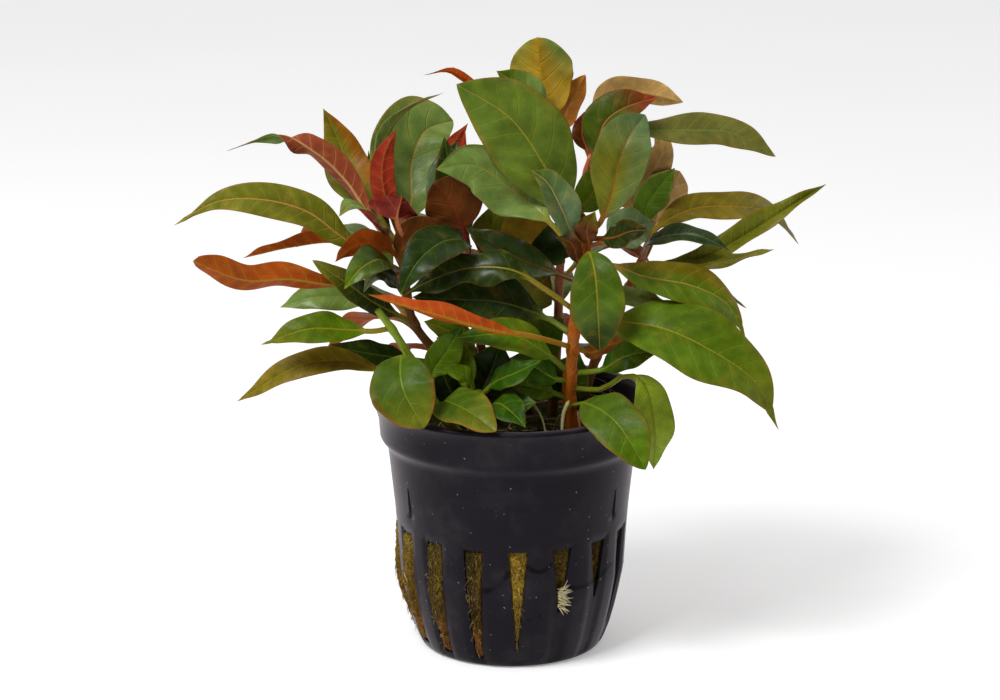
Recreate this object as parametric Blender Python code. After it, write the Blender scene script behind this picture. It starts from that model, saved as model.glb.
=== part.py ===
"""Potted ludwigia glandulosa: a young stem plant in a black plastic net pot.

The tables are in millimetres and the meshes in metres. +Z is up, the photographed front
looks along -Y, and the origin is the middle of the pot's base.
"""

import math
import random

import bmesh
import bpy
from mathutils import Matrix, Vector

MM = 0.001
GAP = 0.3

# The pot: a standard 5 cm net pot. Its outside runs from the rim's inner edge down to the base, and
# its inside back up, both as (radius, height).
POT_OUTSIDE = (
    (25.5, 50.0), (27.2, 50.0), (27.5, 49.4), (26.1, 46.3), (25.8, 42.6), (24.3, 40.4), (23.0, 28.5),
    (22.2, 16.0), (20.6, 8.0), (18.6, 1.7), (17.0, 0.0),
)
POT_INSIDE = ((16.5, 1.2), (19.6, 8.0), (21.2, 16.0), (23.3, 40.4), (24.8, 44.1))
BASE_THICKNESS = 1.2
POT_STEPS = 40

# The slots: wedges that narrow downwards, cut from inside the wall to outside it
SLOT_COUNT = 16
FIRST_SLOT = 3.0
SLOT_TOP = (25.0, 4.0)
SLOT_NEAR = 14.0
SLOT_FAR = 28.0
# foot height and foot width of each slot, from the front round to the right
SLOT_FEET = (
    (4.0, 0.4), (12.0, 0.6), (13.5, 0.5), (5.5, 0.6), (1.8, 1.6), (1.8, 2.0), (4.0, 0.6), (9.0, 0.5),
    (1.8, 1.6), (1.8, 2.2), (5.0, 0.8), (1.8, 2.0), (1.8, 2.4), (1.8, 2.4), (1.8, 2.2), (1.8, 1.5),
)

# The plug of rock wool, clear of the pot: (radius, height) from its foot up to the edge of its flat top
MEDIUM_FOOT = 1.6
MEDIUM_TOP = 45.3
MEDIUM_PROFILE = (
    (15.4, MEDIUM_FOOT), (19.6, 10.0), (21.1, 22.0), (21.9, 38.0), (22.7, 43.5), (20.0, 44.5),
    (16.0, MEDIUM_TOP),
)
MEDIUM_STEPS = 24
MEDIUM_ROUGHNESS = 0.7
# slots that the wool bulges out of: slot number, height and distance from the axis of the bulge's middle
BULGES = ((12, 13.0, 20.4), (4, 18.0, 21.4))
BULGE_SIZE = (1.4, 3.0, 12.0)

# Leaf and stem sections
STEM_SIDES = 6
STEM_FOOT = MEDIUM_TOP + GAP
STEM_RADIUS = 1.15
STEM_TIP_RADIUS = 0.75
PETIOLE_HALF_WIDTH = 0.65
PETIOLE_THICKNESS = 1.0
BLADE_THICKNESS = 0.7
TIP_SIZE = 0.2
FOLD = 0.12
NARROW = 7.0
# across a blade, as shares of its half width and of half its thickness
ACROSS = ((-1, 0), (-0.5, 0.75), (0, 1), (0.5, 0.75), (1, 0), (0, -1))
NARROW_ACROSS = ((-1, 0), (0, 1), (1, 0), (0, -1))
# how fast a blade widens from its foot and narrows to its tip
BLADE_RISE = 0.85
BLADE_FALL = 1.0
# where along the blade its sections lie
BLADE_STATIONS = (0.04, 0.24, 0.46, 0.68, 0.88, 1.0)
LONG_BLADE_STATIONS = (0.04, 0.18, 0.34, 0.5, 0.66, 0.8, 0.92, 1.0)
LONG_LEAF = 38.0

# Which way a blade's upper face looks
FRONT = (0.0, -1.0, 0.3)
UP_FRONT = (0.0, -0.7, 0.7)
UP = (0.0, -0.3, 0.95)
AWAY = (0.0, 1.0, 0.25)
UP_AWAY = (0.0, 0.75, 0.65)
UP_BACK = (0.0, 0.35, 0.9)

GREEN = (0.07, 0.16, 0.03)
DARK_GREEN = (0.03, 0.08, 0.02)
OLIVE = (0.14, 0.16, 0.03)
COPPER = (0.30, 0.08, 0.03)
RED = (0.26, 0.04, 0.03)
GREY_GREEN = (0.12, 0.17, 0.12)

STEMS = {
    "stem_front_right": [
        (11.5, -9, STEM_FOOT), (11, -10, 54), (11.5, -11, 61), (12, -12, 69), (13, -13, 78), (14.5, -13, 86),
    ],
    "stem_middle": [(3, 6, STEM_FOOT), (5, 8, 62), (6, 10, 80), (7.5, 12, 101)],
    "stem_back_right": [
        (8, 4, STEM_FOOT), (9, 5, 62), (9.5, 5, 76), (11, 5, 85), (14, 5, 92), (15.5, 4, 97),
    ],
    "stem_right": [(13, 0, STEM_FOOT), (16, 1, 56), (20, 2, 66), (24, 2, 74), (27, 2, 81)],
    "stem_left": [(-8, -3, STEM_FOOT), (-14.5, -4, 59), (-19, -5, 66), (-20.5, -6, 74), (-21, -6, 84)],
    "stem_centre_left": [(-3, -1, STEM_FOOT), (-6, -1, 60), (-8, -2, 72), (-9, -3, 83)],
    "shoot_left_front": [
        (-10, -9, STEM_FOOT), (-16, -10, 53), (-19.5, -13, 61), (-22.5, -14, 66.5), (-25.5, -15, 71),
    ],
    "crown_front": [(-6.5, -13, STEM_FOOT), (-6.5, -14, 50), (-6.5, -14, 55)],
}
STEM_COLOURS = {"shoot_left_front": (0.22, 0.26, 0.06), "crown_front": (0.20, 0.34, 0.06)}
STEM_COLOUR = (0.28, 0.09, 0.04)

# Each leaf: the stem it grows on, the height of its foot there, the length of its petiole, the
# width of its blade, the way its upper face looks, and the points that its midrib runs through
# after the foot, the last one its tip.
LEAVES = {
    "great_upright_leaf": ("stem_front_right", 83, 6, 16, (-0.1, -1, 0.35),
        [(9.5, -10.5, 90), (6, -11, 98), (-0.5, -10, 107), (-10.5, -8, 113)]),
    "pale_left_leaf": ("stem_front_right", 80.5, 9, 13, (0, -0.65, 0.75),
        [(6.5, -12, 88), (0, -7.5, 92.5), (-7, -6.5, 97), (-14.5, -9.5, 97)]),
    "pink_vein_leaf": ("stem_front_right", 82.5, 4, 8, (0.3, -1, 0.4),
        [(11, -16, 86.5), (9, -18, 91.5), (6.5, -17, 96), (3.5, -15, 98)]),
    "upright_right_leaf": ("stem_front_right", 86, 4, 11, (0.1, -1, 0.3),
        [(16.5, -15.5, 88), (18.5, -15, 93), (20, -14, 99.5), (22, -12, 104), (25, -9.5, 107.5)]),
    "hanging_front_leaf": ("stem_front_right", 81, 3, 10.5, (0, -1, 0.2),
        [(14.5, -17.5, 82.5), (15.5, -21, 79), (16, -22.5, 72.5), (16.5, -21, 64.5)]),
    "pale_round_leaf": ("stem_front_right", 83, 4, 9, (-0.1, -0.8, 0.6),
        [(19, -10, 83.5), (23, -8, 85.5), (27.5, -6, 86)]),
    "right_arching_leaf": ("stem_front_right", 78, 6, 9.5, (0.1, -0.65, 0.75),
        [(18, -13.5, 79.5), (25, -13, 77), (34, -12, 75), (41, -10.5, 71), (45, -10, 63.5)]),
    "great_right_leaf": ("stem_front_right", 67.5, 7, 15, (0.1, -0.7, 0.7),
        [(17, -14, 68.5), (28, -19, 68.5), (38, -22, 64.5), (45.5, -22.5, 59), (50.5, -21, 49)]),
    "wavy_dark_leaf": ("stem_front_right", 70.5, 10, 8, (0, -0.7, 0.7),
        [(6.5, -13.5, 74.5), (0, -14, 78.5), (-8, -12.5, 78.5), (-15.5, -14, 76.5), (-20.5, -15.5, 74)]),
    "thin_red_leaf": ("stem_front_right", 63, 14, 5, (0, 1, 0.3),
        [(3.5, -19, 67), (-4, -22, 69), (-13.5, -23, 72), (-27, -21, 75.5)]),
    "small_middle_leaf": ("stem_front_right", 58, 5, 7, (0, -0.8, 0.6),
        [(6, -15, 62.8), (-0.5, -17.5, 66.8), (-11, -18, 66.3)]),
    "broad_centre_leaf": ("stem_front_right", 65.5, 6, 13, (0, -0.75, 0.65),
        [(6.5, -9, 68), (-2.5, -11, 71.5), (-11, -13, 72.5), (-19, -13, 73)]),
    "rim_right_leaf": ("stem_front_right", 51, 5, 10, (-0.1, -0.75, 0.65),
        [(14.5, -17, 53), (19, -24, 52), (22.5, -27.5, 48), (25, -28.5, 43.5)]),
    "hanging_right_leaf": ("stem_front_right", 54.5, 14, 8, (0.3, -0.95, 0.2),
        [(17, -13.5, 55), (21.5, -16, 58.5), (25, -18.5, 57.5), (27, -19.5, 49.5), (27, -18.5, 40.5)]),
    "low_bright_leaf": ("stem_front_right", 56, 3, 7, (0, -0.8, 0.6),
        [(8, -13.7, 57.2), (4, -14.3, 59.7), (-0.5, -15.3, 61.7)]),
    "rim_bright_leaf": ("crown_front", 50, 4, 7, (0, -0.7, 0.7),
        [(-3, -20, 54), (0, -24.5, 53.5), (2.5, -27.5, 51.5)]),
    "hanging_oval_leaf": ("shoot_left_front", 61, 4, 12.5, (0, -1, 0.25),
        [(-21, -18, 62.5), (-20.5, -24, 58), (-16.5, -26.5, 51)]),
    "left_low_leaf": ("shoot_left_front", 67.5, 4, 7, (-0.1, -0.7, 0.7),
        [(-26.5, -15.5, 67), (-31.5, -16.5, 67.5), (-38.5, -18, 68), (-47.5, -18, 65)]),
    "lowest_left_leaf": ("shoot_left_front", 56, 7, 6, (0, -0.7, 0.7),
        [(-26, -11.5, 58.5), (-32, -13, 60.5), (-40.5, -15, 60), (-52.5, -15, 53)]),
    "rim_olive_leaf": ("shoot_left_front", 48, 4, 10, (0, -0.6, 0.8),
        [(-13, -17, 53.5), (-10, -22, 54), (-6.5, -26, 53), (-3, -29, 51)]),
    "copper_arching_leaf": ("stem_left", 78.5, 9, 6, (0.35, 0.9, 0.3),
        [(-28, -4.5, 88.5), (-32, -3, 94), (-38, -3, 99.5), (-45, -2.5, 102), (-54.5, -2, 99)]),
    "olive_upright_leaf": ("stem_left", 80.5, 7, 9, (0, -1, 0.3),
        [(-28, 0.5, 89.5), (-31.5, 5, 93.5), (-33.5, 7.5, 99), (-36.5, 7.5, 105.5)]),
    "long_left_leaf": ("stem_left", 76.5, 8, 7.5, (-0.05, -0.8, 0.6),
        [(-32, -9, 83.5), (-39, -10, 89), (-47.5, -11, 91.5), (-56, -11, 91), (-64, -11, 86.5)]),
    "brown_edge_leaf": ("stem_left", 76, 8, 4.5, (0, 0.4, 0.9),
        [(-33, -1, 81), (-42.5, -2, 80.5), (-52, -2, 78)]),
    "great_copper_leaf": ("stem_left", 69.5, 8, 7, (0, 0.9, 0.45),
        [(-28.5, -10, 74), (-35.5, -14, 76), (-42.5, -16, 77.5), (-50.5, -17, 77.5), (-60, -17, 81)]),
    "dark_drooping_leaf": ("stem_left", 75.5, 3, 7.5, (-0.2, -0.8, 0.6),
        [(-25, -16, 81), (-28.5, -19.5, 80), (-31.5, -21, 76.5)]),
    "red_brown_leaf": ("stem_left", 79, 3, 6, (0, 0.9, 0.3),
        [(-25, -10.5, 82.5), (-29.5, -13, 83), (-33.5, -13.5, 80)]),
    "grey_thin_leaf": ("stem_left", 83, 7, 4.5, (-0.75, 0.1, 0.65),
        [(-24, -0.5, 91), (-25, 1.5, 98.5), (-21, 3, 105.5), (-13, 3, 109.5)]),
    "broad_folded_leaf": ("stem_left", 82, 6, 14, (0.1, -0.9, 0.45),
        [(-19.5, 4.5, 88), (-19.5, 9, 94), (-17, 12, 100), (-11.5, 16, 101.5)]),
    "red_crown_leaf": ("stem_left", 82.6, 5, 9.5, (-0.2, 1, 0.2),
        [(-21, -8, 84), (-22, -7.5, 87), (-21, -5.5, 91)]),
    "grey_rimmed_leaf": ("stem_left", 81.2, 4, 7, (0, -0.25, 1),
        [(-27, -12.5, 88.5), (-30, -15, 91.5), (-32.5, -17, 89.5)]),
    "back_left_leaf": ("stem_left", 73, 5, 11, (0, 0.3, 0.95),
        [(-27, 4, 79), (-35, 12, 81), (-43, 20, 75)]),
    "low_back_left_leaf": ("stem_left", 61, 5, 10, (0, 0.3, 0.95),
        [(-21, 4, 64), (-29, 13, 62), (-37, 20, 54)]),
    "dark_front_leaf": ("stem_centre_left", 78, 5, 9, (0, -0.7, 0.7),
        [(-9, -9, 83), (-13.5, -15, 84), (-18, -19.5, 81), (-21, -21, 75.5)]),
    "brown_heart_leaf": ("stem_centre_left", 81, 4, 10.5, (0.1, 1, 0.2),
        [(-8.5, -4, 82), (-10.5, -5.5, 87.5), (-12.5, -5, 91), (-15, -5.5, 93.5)]),
    "back_centre_left_leaf": ("stem_centre_left", 74, 6, 11, (0, 0.3, 0.95),
        [(-11, 7, 79), (-17, 18, 82), (-23, 29, 76)]),
    "top_olive_leaf": ("stem_middle", 99, 4, 11.5, (0, 1, 0.3),
        [(7.5, 14, 104.5), (6, 17, 109.5), (5, 19, 117.5)]),
    "top_grey_leaf": ("stem_middle", 99.5, 3, 7.5, (0, -0.8, 0.6),
        [(4.5, 9.5, 105.5), (1.5, 9.5, 109.5), (-3, 9.5, 112.5)]),
    "orange_pointed_leaf": ("stem_middle", 96.5, 3, 6, (-0.1, 1, 0.2),
        [(9.5, 15, 101.5), (11.5, 18, 105), (14.5, 19.5, 110)]),
    "back_middle_leaf": ("stem_middle", 84, 6, 12, (0, 0.35, 0.95),
        [(4, 19, 89), (0, 30, 90), (-4, 40, 83)]),
    "orange_back_leaf": ("stem_back_right", 94.5, 5, 8, (0, 0.8, 0.55),
        [(16, 10, 103), (18, 12.5, 106.5), (25, 14, 107.5), (33.5, 14, 105.5)]),
    "folded_top_leaf": ("stem_back_right", 94.5, 3, 9, (0, -0.75, 0.65),
        [(16.5, 1.5, 100), (18, 2, 104), (21.5, 2.5, 106.5), (28, 3.5, 108.5)]),
    "far_right_leaf": ("stem_back_right", 90, 14, 8, (0, -0.65, 0.75),
        [(21.5, 5.5, 101), (29, 6, 101.5), (35, 6, 101.5), (42.5, 6, 101), (51, 5, 96.5)]),
    "back_right_leaf": ("stem_back_right", 82, 6, 11, (0.1, 0.35, 0.95),
        [(17, 13, 88), (25, 23, 90), (34, 31, 84)]),
    "low_back_leaf": ("stem_back_right", 62, 6, 10, (0, 0.3, 0.95),
        [(9, 14, 67), (7, 25, 68), (4, 35, 61)]),
    "tan_back_leaf": ("stem_right", 80, 4, 9.5, (0, 1, 0.3),
        [(28.5, 8, 85.5), (31, 11, 88), (33, 13, 92)]),
    "drooping_right_leaf": ("stem_right", 78.5, 7, 7.5, (0.1, -0.6, 0.8),
        [(27, -1.5, 83), (34.5, 5, 86), (43.5, 5.5, 86.5), (51, 5.5, 85), (56, 5, 79)]),
    "rising_right_leaf": ("stem_right", 74.5, 8, 6, (-0.3, -0.8, 0.55),
        [(30, -3.5, 77.5), (37, -5, 79), (43.5, -5, 82.5), (51, -5, 87.5), (60, -4, 93)]),
    "grey_right_leaf": ("stem_right", 76.5, 4, 5.5, (0, -0.5, 0.85),
        [(26.5, -5, 82), (31, -8, 84), (36, -10, 84), (41.5, -11, 81.5)]),
    "low_back_right_leaf": ("stem_right", 65, 5, 11, (0, 0.3, 0.95),
        [(24, 9, 69), (32, 19, 69), (40, 27, 61)]),
}

# The smaller leaves, each one growth with its stem, given in the same way
SMALL_LEAVES = {
    "stem_front_right": [
        (84.5, 3, 5.5, (0.1, -0.8, 0.6), [(19, -17, 85.5), (22, -18.5, 87), (25.5, -19, 87.5)]),
        (57.5, 5, 6, (0, -0.8, 0.6), [(17, -10.5, 58), (21.5, -12, 61), (28.5, -12, 62.5)]),
        (72, 4, 5, (0, -0.6, 0.8), [(18, -9, 71.5), (23, -9, 72), (30, -9.5, 71)]),
        (62.5, 2, 4, AWAY, [(15, -8.5, 61), (18, -7.5, 62), (22, -7, 63)]),
        (52.5, 3, 5.5, (0, -0.8, 0.6), [(7, -13, 54.5), (3, -15, 56), (-1.5, -16, 57)]),
    ],
    "stem_middle": [
        (91, 5, 2.5, UP_AWAY, [(-2.5, 4.5, 105.5), (-11, 2.5, 113.5), (-17, 2, 113)]),
        (80, 3, 8, AWAY, [(5, 7.5, 80.5), (3, 7, 83), (-1.5, 6, 86)]),
        (88, 4, 7, UP_FRONT, [(2.5, 6, 94), (-2, 3, 99), (-6, 1, 103)]),
        (70, 4, 7.5, UP_BACK, [(0, 14, 73), (-6, 22, 73), (-12, 29, 67)]),
        (58, 4, 7, UP_BACK, [(6, 15, 60.5), (9, 22, 60), (12, 29, 54)]),
        (62, 3, 7, UP_FRONT, [(3, 3, 64), (0, -1, 66), (-4, -4, 66)]),
    ],
    "stem_back_right": [
        (88, 6, 8, AWAY, [(23.5, 9, 88.5), (27.5, 11, 92.5), (29.5, 12, 97), (27.5, 12.5, 100.5)]),
        (96.5, 1, 4, UP_FRONT, [(14.5, 5, 98), (13.5, 6, 101), (14, 7, 105)]),
        (84, 3, 7, (0, -1, 0.3), [(14, 1.5, 88), (17, -1, 93), (20, -3, 98)]),
        (72, 4, 7.5, UP_BACK, [(14, 11, 75), (21, 18, 76), (28, 24, 71)]),
        (54, 4, 7, UP_BACK, [(13, 9.5, 56.5), (19, 16, 56), (25, 22, 51.5)]),
    ],
    "stem_right": [
        (80, 3, 6.5, (0, -1, 0.3), [(26, 3.5, 86.5), (28, 4, 90), (31.5, 4, 94.5)]),
        (73.5, 5, 4.5, UP, [(33, 3.5, 74), (42, 4, 76), (51, 3.5, 78.5)]),
        (58, 4, 7, UP_BACK, [(21, 6, 61), (28, 12, 60), (35, 17, 54)]),
        (69, 4, 7, UP, [(29, 1, 71.5), (38, 3, 71.5), (46, 4, 66.5)]),
        (61, 3, 7, UP_FRONT, [(22, -3, 63.5), (27, -6, 64), (33, -8, 60)]),
    ],
    "stem_left": [
        (72, 2, 5, (-0.2, -0.8, 0.6), [(-23.5, -13, 77), (-26, -16.5, 78.5), (-28, -17.5, 75)]),
        (66.5, 3, 6, (0, -0.8, 0.6), [(-26.5, -11, 71.5), (-31.5, -15.5, 76.5), (-37.5, -18.5, 81.5)]),
        (83, 3, 5, AWAY, [(-24.5, -4.5, 92), (-24.5, -3.5, 98), (-22, -3, 103.5)]),
        (70.5, 5, 6.5, (0, -0.8, 0.6), [(-29, -5, 71), (-38, -7, 71.5), (-44.5, -7, 69.5)]),
        (58, 5, 6, UP_FRONT, [(-20.5, -4, 58.5), (-27.5, -6, 60), (-35.5, -7, 62)]),
        (77, 4, 4, UP_FRONT, [(-26, 2, 86), (-27.5, 10, 91), (-28, 11.5, 96.5)]),
        (66, 4, 7.5, UP_BACK, [(-24, 3, 69), (-32, 9, 70), (-40, 14, 65)]),
        (54, 4, 7, UP_BACK, [(-14, 3, 57.5), (-20, 9, 57.5), (-26, 16, 53)]),
    ],
    "stem_centre_left": [
        (80.5, 3, 6.5, (0, -1, 0.2), [(-11, -2, 89), (-12, -1, 95), (-13, 0, 101.5)]),
        (79, 4, 3, AWAY, [(-9, 1, 90), (-9.5, 3.5, 97), (-9, 5, 102)]),
        (64, 4, 7, UP_BACK, [(-8, 6, 67), (-12, 14, 67), (-17, 21, 62)]),
        (53, 4, 6.5, UP_BACK, [(-4, 6, 56), (-6, 13, 56), (-9, 20, 52)]),
        (57, 3, 6.5, UP_FRONT, [(-8, -4, 60), (-12, -4.5, 64), (-17, -4, 66)]),
    ],
    "shoot_left_front": [
        (53, 3, 6.5, (0, -1, 0.2), [(-15, -11.5, 58), (-12.5, -12, 62), (-9.5, -12, 67)]),
    ],
    "crown_front": [
        (53, 2, 4, UP_FRONT, [(-9, -15.5, 58), (-13, -16.5, 60)]),
        (53, 3, 6, (0, -1, 0.4), [(-8.5, -11.5, 57.5), (-12, -9.5, 61.5), (-14.5, -8.5, 64)]),
        (54, 3, 6, UP_FRONT, [(-3, -17, 57.5), (1, -19.5, 60), (5.5, -20, 62.5)]),
    ],
}

LEAF_COLOURS = {
    "great_upright_leaf": DARK_GREEN, "pale_left_leaf": GREY_GREEN, "pink_vein_leaf": GREY_GREEN,
    "upright_right_leaf": GREEN, "hanging_front_leaf": GREEN, "pale_round_leaf": GREY_GREEN,
    "right_arching_leaf": GREEN, "great_right_leaf": GREEN, "wavy_dark_leaf": DARK_GREEN,
    "thin_red_leaf": RED, "broad_centre_leaf": DARK_GREEN, "rim_olive_leaf": OLIVE,
    "copper_arching_leaf": RED, "olive_upright_leaf": OLIVE, "brown_edge_leaf": COPPER,
    "great_copper_leaf": COPPER, "dark_drooping_leaf": DARK_GREEN, "red_brown_leaf": COPPER,
    "grey_thin_leaf": GREY_GREEN, "broad_folded_leaf": GREY_GREEN, "red_crown_leaf": RED,
    "grey_rimmed_leaf": GREY_GREEN, "dark_front_leaf": DARK_GREEN, "brown_heart_leaf": COPPER,
    "top_olive_leaf": OLIVE, "top_grey_leaf": GREY_GREEN, "orange_pointed_leaf": COPPER,
    "orange_back_leaf": COPPER, "folded_top_leaf": OLIVE, "far_right_leaf": OLIVE,
    "tan_back_leaf": COPPER, "drooping_right_leaf": OLIVE, "grey_right_leaf": DARK_GREEN,
}


def clear_scene():
    for obj in list(bpy.data.objects):
        bpy.data.objects.remove(obj, do_unlink=True)


def finish(obj, colour, roughness, metallic=0.0):
    material = bpy.data.materials.new(obj.name + "_finish")
    material.use_nodes = True
    shader = material.node_tree.nodes["Principled BSDF"]
    shader.inputs["Base Color"].default_value = (*colour, 1.0)
    shader.inputs["Roughness"].default_value = roughness
    shader.inputs["Metallic"].default_value = metallic
    obj.data.materials.append(material)


def as_object(name, bm):
    """The bmesh, in millimetres, as an object in metres with its faces looking out."""
    bmesh.ops.recalc_face_normals(bm, faces=bm.faces)
    bmesh.ops.scale(bm, vec=(MM, MM, MM), verts=bm.verts)
    mesh = bpy.data.meshes.new(name)
    bm.to_mesh(mesh)
    bm.free()
    obj = bpy.data.objects.new(name, mesh)
    bpy.context.scene.collection.objects.link(obj)
    mesh.shade_smooth()
    mesh.set_sharp_from_angle(angle=math.radians(40))
    return obj


def boolean(obj, tool, operation):
    """Adds a Boolean of the tool, which is then a helper and not a piece."""
    tool.hide_render = True
    tool.display_type = "WIRE"
    modifier = obj.modifiers.new(operation.lower() + "_" + tool.name, "BOOLEAN")
    modifier.operation = operation
    modifier.solver = "EXACT"
    modifier.object = tool


def turned(profile, steps):
    """Spins a profile of (radius, height) that starts and ends on the axis into a closed bmesh."""
    bm = bmesh.new()
    verts = [bm.verts.new((radius, 0, height)) for radius, height in profile]
    edges = [bm.edges.new(pair) for pair in zip(verts, verts[1:])]
    bmesh.ops.spin(bm, geom=verts + edges, cent=(0, 0, 0), axis=(0, 0, 1), dvec=(0, 0, 0),
                   angle=math.tau, steps=steps, use_merge=True)
    bmesh.ops.remove_doubles(bm, verts=bm.verts, dist=0.001)
    return bm


def wedge(bm, azimuth, near, far, foot, top):
    """Adds a closed wedge across the pot's wall. foot and top are its (height, width)."""
    made = bmesh.ops.create_cube(bm, size=2.0)["verts"]
    for vert in made:
        height, width = top if vert.co.z > 0 else foot
        radius = far if vert.co.y < 0 else near
        vert.co = (vert.co.x * width / 2, -radius, height)
    turn = Matrix.Rotation(math.radians(azimuth), 3, "Z")
    bmesh.ops.rotate(bm, cent=(0, 0, 0), matrix=turn, verts=made)


def slot_azimuth(number):
    return FIRST_SLOT + number * 360.0 / SLOT_COUNT


def make_pot():
    profile = [(0.0, 0.0), *reversed(POT_OUTSIDE), *reversed(POT_INSIDE), (0.0, BASE_THICKNESS)]
    pot = as_object("pot", turned(profile, POT_STEPS))
    finish(pot, (0.018, 0.016, 0.022), 0.35)
    slots = bmesh.new()
    for number, foot in enumerate(SLOT_FEET):
        wedge(slots, slot_azimuth(number), SLOT_NEAR, SLOT_FAR, foot, SLOT_TOP)
    boolean(pot, as_object("slot_cutters", slots), "DIFFERENCE")


def make_growing_medium():
    """The plug keeps clear of the pot's wall, and two slots show it bulging out."""
    bm = turned([(0.0, MEDIUM_FOOT), *MEDIUM_PROFILE, (0.0, MEDIUM_TOP)], MEDIUM_STEPS)
    rng = random.Random(5)
    flat_radius = MEDIUM_PROFILE[-1][0]
    for vert in bm.verts:
        radius = math.hypot(vert.co.x, vert.co.y)
        if radius > flat_radius + 0.1:
            share = 1.0 - rng.random() * MEDIUM_ROUGHNESS / radius
            vert.co.x *= share
            vert.co.y *= share
    medium = as_object("growing_medium", bm)
    finish(medium, (0.23, 0.18, 0.04), 0.95)

    bulges = bmesh.new()
    for number, height, distance in BULGES:
        lump = bmesh.ops.create_icosphere(bulges, subdivisions=1, radius=0.5)["verts"]
        bmesh.ops.scale(bulges, vec=BULGE_SIZE, verts=lump)
        bmesh.ops.translate(bulges, vec=(0, -distance, height), verts=lump)
        turn = Matrix.Rotation(math.radians(slot_azimuth(number)), 3, "Z")
        bmesh.ops.rotate(bulges, cent=(0, 0, 0), matrix=turn, verts=lump)
    boolean(medium, as_object("medium_bulges", bulges), "UNION")


def along(points, share):
    """The point at this share of a smooth curve through the points, and its direction."""
    spans = [(b - a).length for a, b in zip(points, points[1:])]
    distance = share * sum(spans)
    index = 0
    while index < len(spans) - 1 and distance > spans[index]:
        distance -= spans[index]
        index += 1
    t = distance / spans[index]
    start, end = points[index], points[index + 1]
    before = points[index - 1] if index else start * 2 - end
    after = points[index + 2] if index + 2 < len(points) else end * 2 - start
    leave = (end - before) * (spans[index] / ((end - start).length + (start - before).length))
    arrive = (after - start) * (spans[index] / ((after - end).length + (end - start).length))
    place = (start * (2 * t**3 - 3 * t**2 + 1) + leave * (t**3 - 2 * t**2 + t)
             + end * (3 * t**2 - 2 * t**3) + arrive * (t**3 - t**2))
    heading = (start * (6 * t**2 - 6 * t) + leave * (3 * t**2 - 4 * t + 1)
               + end * (6 * t - 6 * t**2) + arrive * (3 * t**2 - 2 * t))
    return place, heading.normalized()


def loft(bm, sections):
    """Extrudes a closed tube of faces through sections that all have the same number of points."""
    ring = bmesh.ops.create_circle(bm, cap_ends=True, segments=len(sections[0]), radius=1.0)["verts"]
    face = ring[0].link_faces[0]
    for vert, point in zip([loop.vert for loop in face.loops], sections[0]):
        vert.co = point
    first = list(face.edges)
    for section in sections[1:]:
        face = bmesh.ops.extrude_discrete_faces(bm, faces=[face])["faces"][0]
        for loop, point in zip(face.loops, section):
            loop.vert.co = point
    bmesh.ops.contextual_create(bm, geom=first)


def stem_radius(share):
    return STEM_RADIUS + (STEM_TIP_RADIUS - STEM_RADIUS) * share


def stem_at(name, height):
    """The middle of the stem at this height, its direction there and its radius."""
    points = [Vector(p) for p in STEMS[name]]
    low, high = 0.0, 1.0
    for _ in range(30):
        share = (low + high) / 2
        place, heading = along(points, share)
        if place.z < height:
            low = share
        else:
            high = share
    return place, heading, stem_radius(share)


def leaf_route(stem, root, path, inside):
    """The points that a leaf's midrib follows, from beside its stem, or from inside it, to its tip."""
    middle, heading, radius = stem_at(stem, root)
    towards = Vector(path[0]) - middle
    outwards = (towards - heading * towards.dot(heading)).normalized()
    foot = middle if inside else middle + outwards * (radius + GAP + PETIOLE_THICKNESS / 3)
    return [foot, *(Vector(p) for p in path)]


def blade_share(station):
    """How wide the blade is at this share of its length, from 0 to 1."""
    widest = BLADE_RISE / (BLADE_RISE + BLADE_FALL)
    peak = widest**BLADE_RISE * (1 - widest)**BLADE_FALL
    return station**BLADE_RISE * (1 - station)**BLADE_FALL / peak


def leaf_sections(route, petiole, width, faces):
    """Sections along a leaf, turned so that the middle of its blade looks the way that faces says."""
    length = sum((b - a).length for a, b in zip(route, route[1:]))
    stations = LONG_BLADE_STATIONS if length > LONG_LEAF else BLADE_STATIONS
    blade = length - petiole
    rings = [(0.0, PETIOLE_HALF_WIDTH, PETIOLE_THICKNESS)]
    for station in stations:
        half = max(width / 2 * blade_share(station), PETIOLE_HALF_WIDTH * (1 - station), TIP_SIZE)
        thick = PETIOLE_THICKNESS + (BLADE_THICKNESS - PETIOLE_THICKNESS) * min(1, station * 3)
        rings.append(((petiole + station * blade) / length, half, thick if station < 1 else TIP_SIZE))

    frames = [along(route, share) for share, _, _ in rings]
    middle = len(frames) // 2
    upper = [None] * len(frames)
    start = Vector(faces)
    for order in (range(middle, len(frames)), range(middle, -1, -1)):
        facing = start
        for index in order:
            heading = frames[index][1]
            facing = (facing - heading * facing.dot(heading)).normalized()
            upper[index] = facing
    across = ACROSS if width > NARROW else NARROW_ACROSS
    sections = []
    for (place, heading), up, (_, half, thick) in zip(frames, upper, rings):
        side = heading.cross(up)
        sections.append([
            place + side * (u * half) + up * (abs(u) * half * FOLD + v * thick / 2) for u, v in across
        ])
    return sections


def make_leaf(name):
    stem, root, petiole, width, faces, path = LEAVES[name]
    bm = bmesh.new()
    loft(bm, leaf_sections(leaf_route(stem, root, path, False), petiole, width, faces))
    leaf = as_object(name, bm)
    finish(leaf, LEAF_COLOURS.get(name, GREEN), 0.45)


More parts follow.
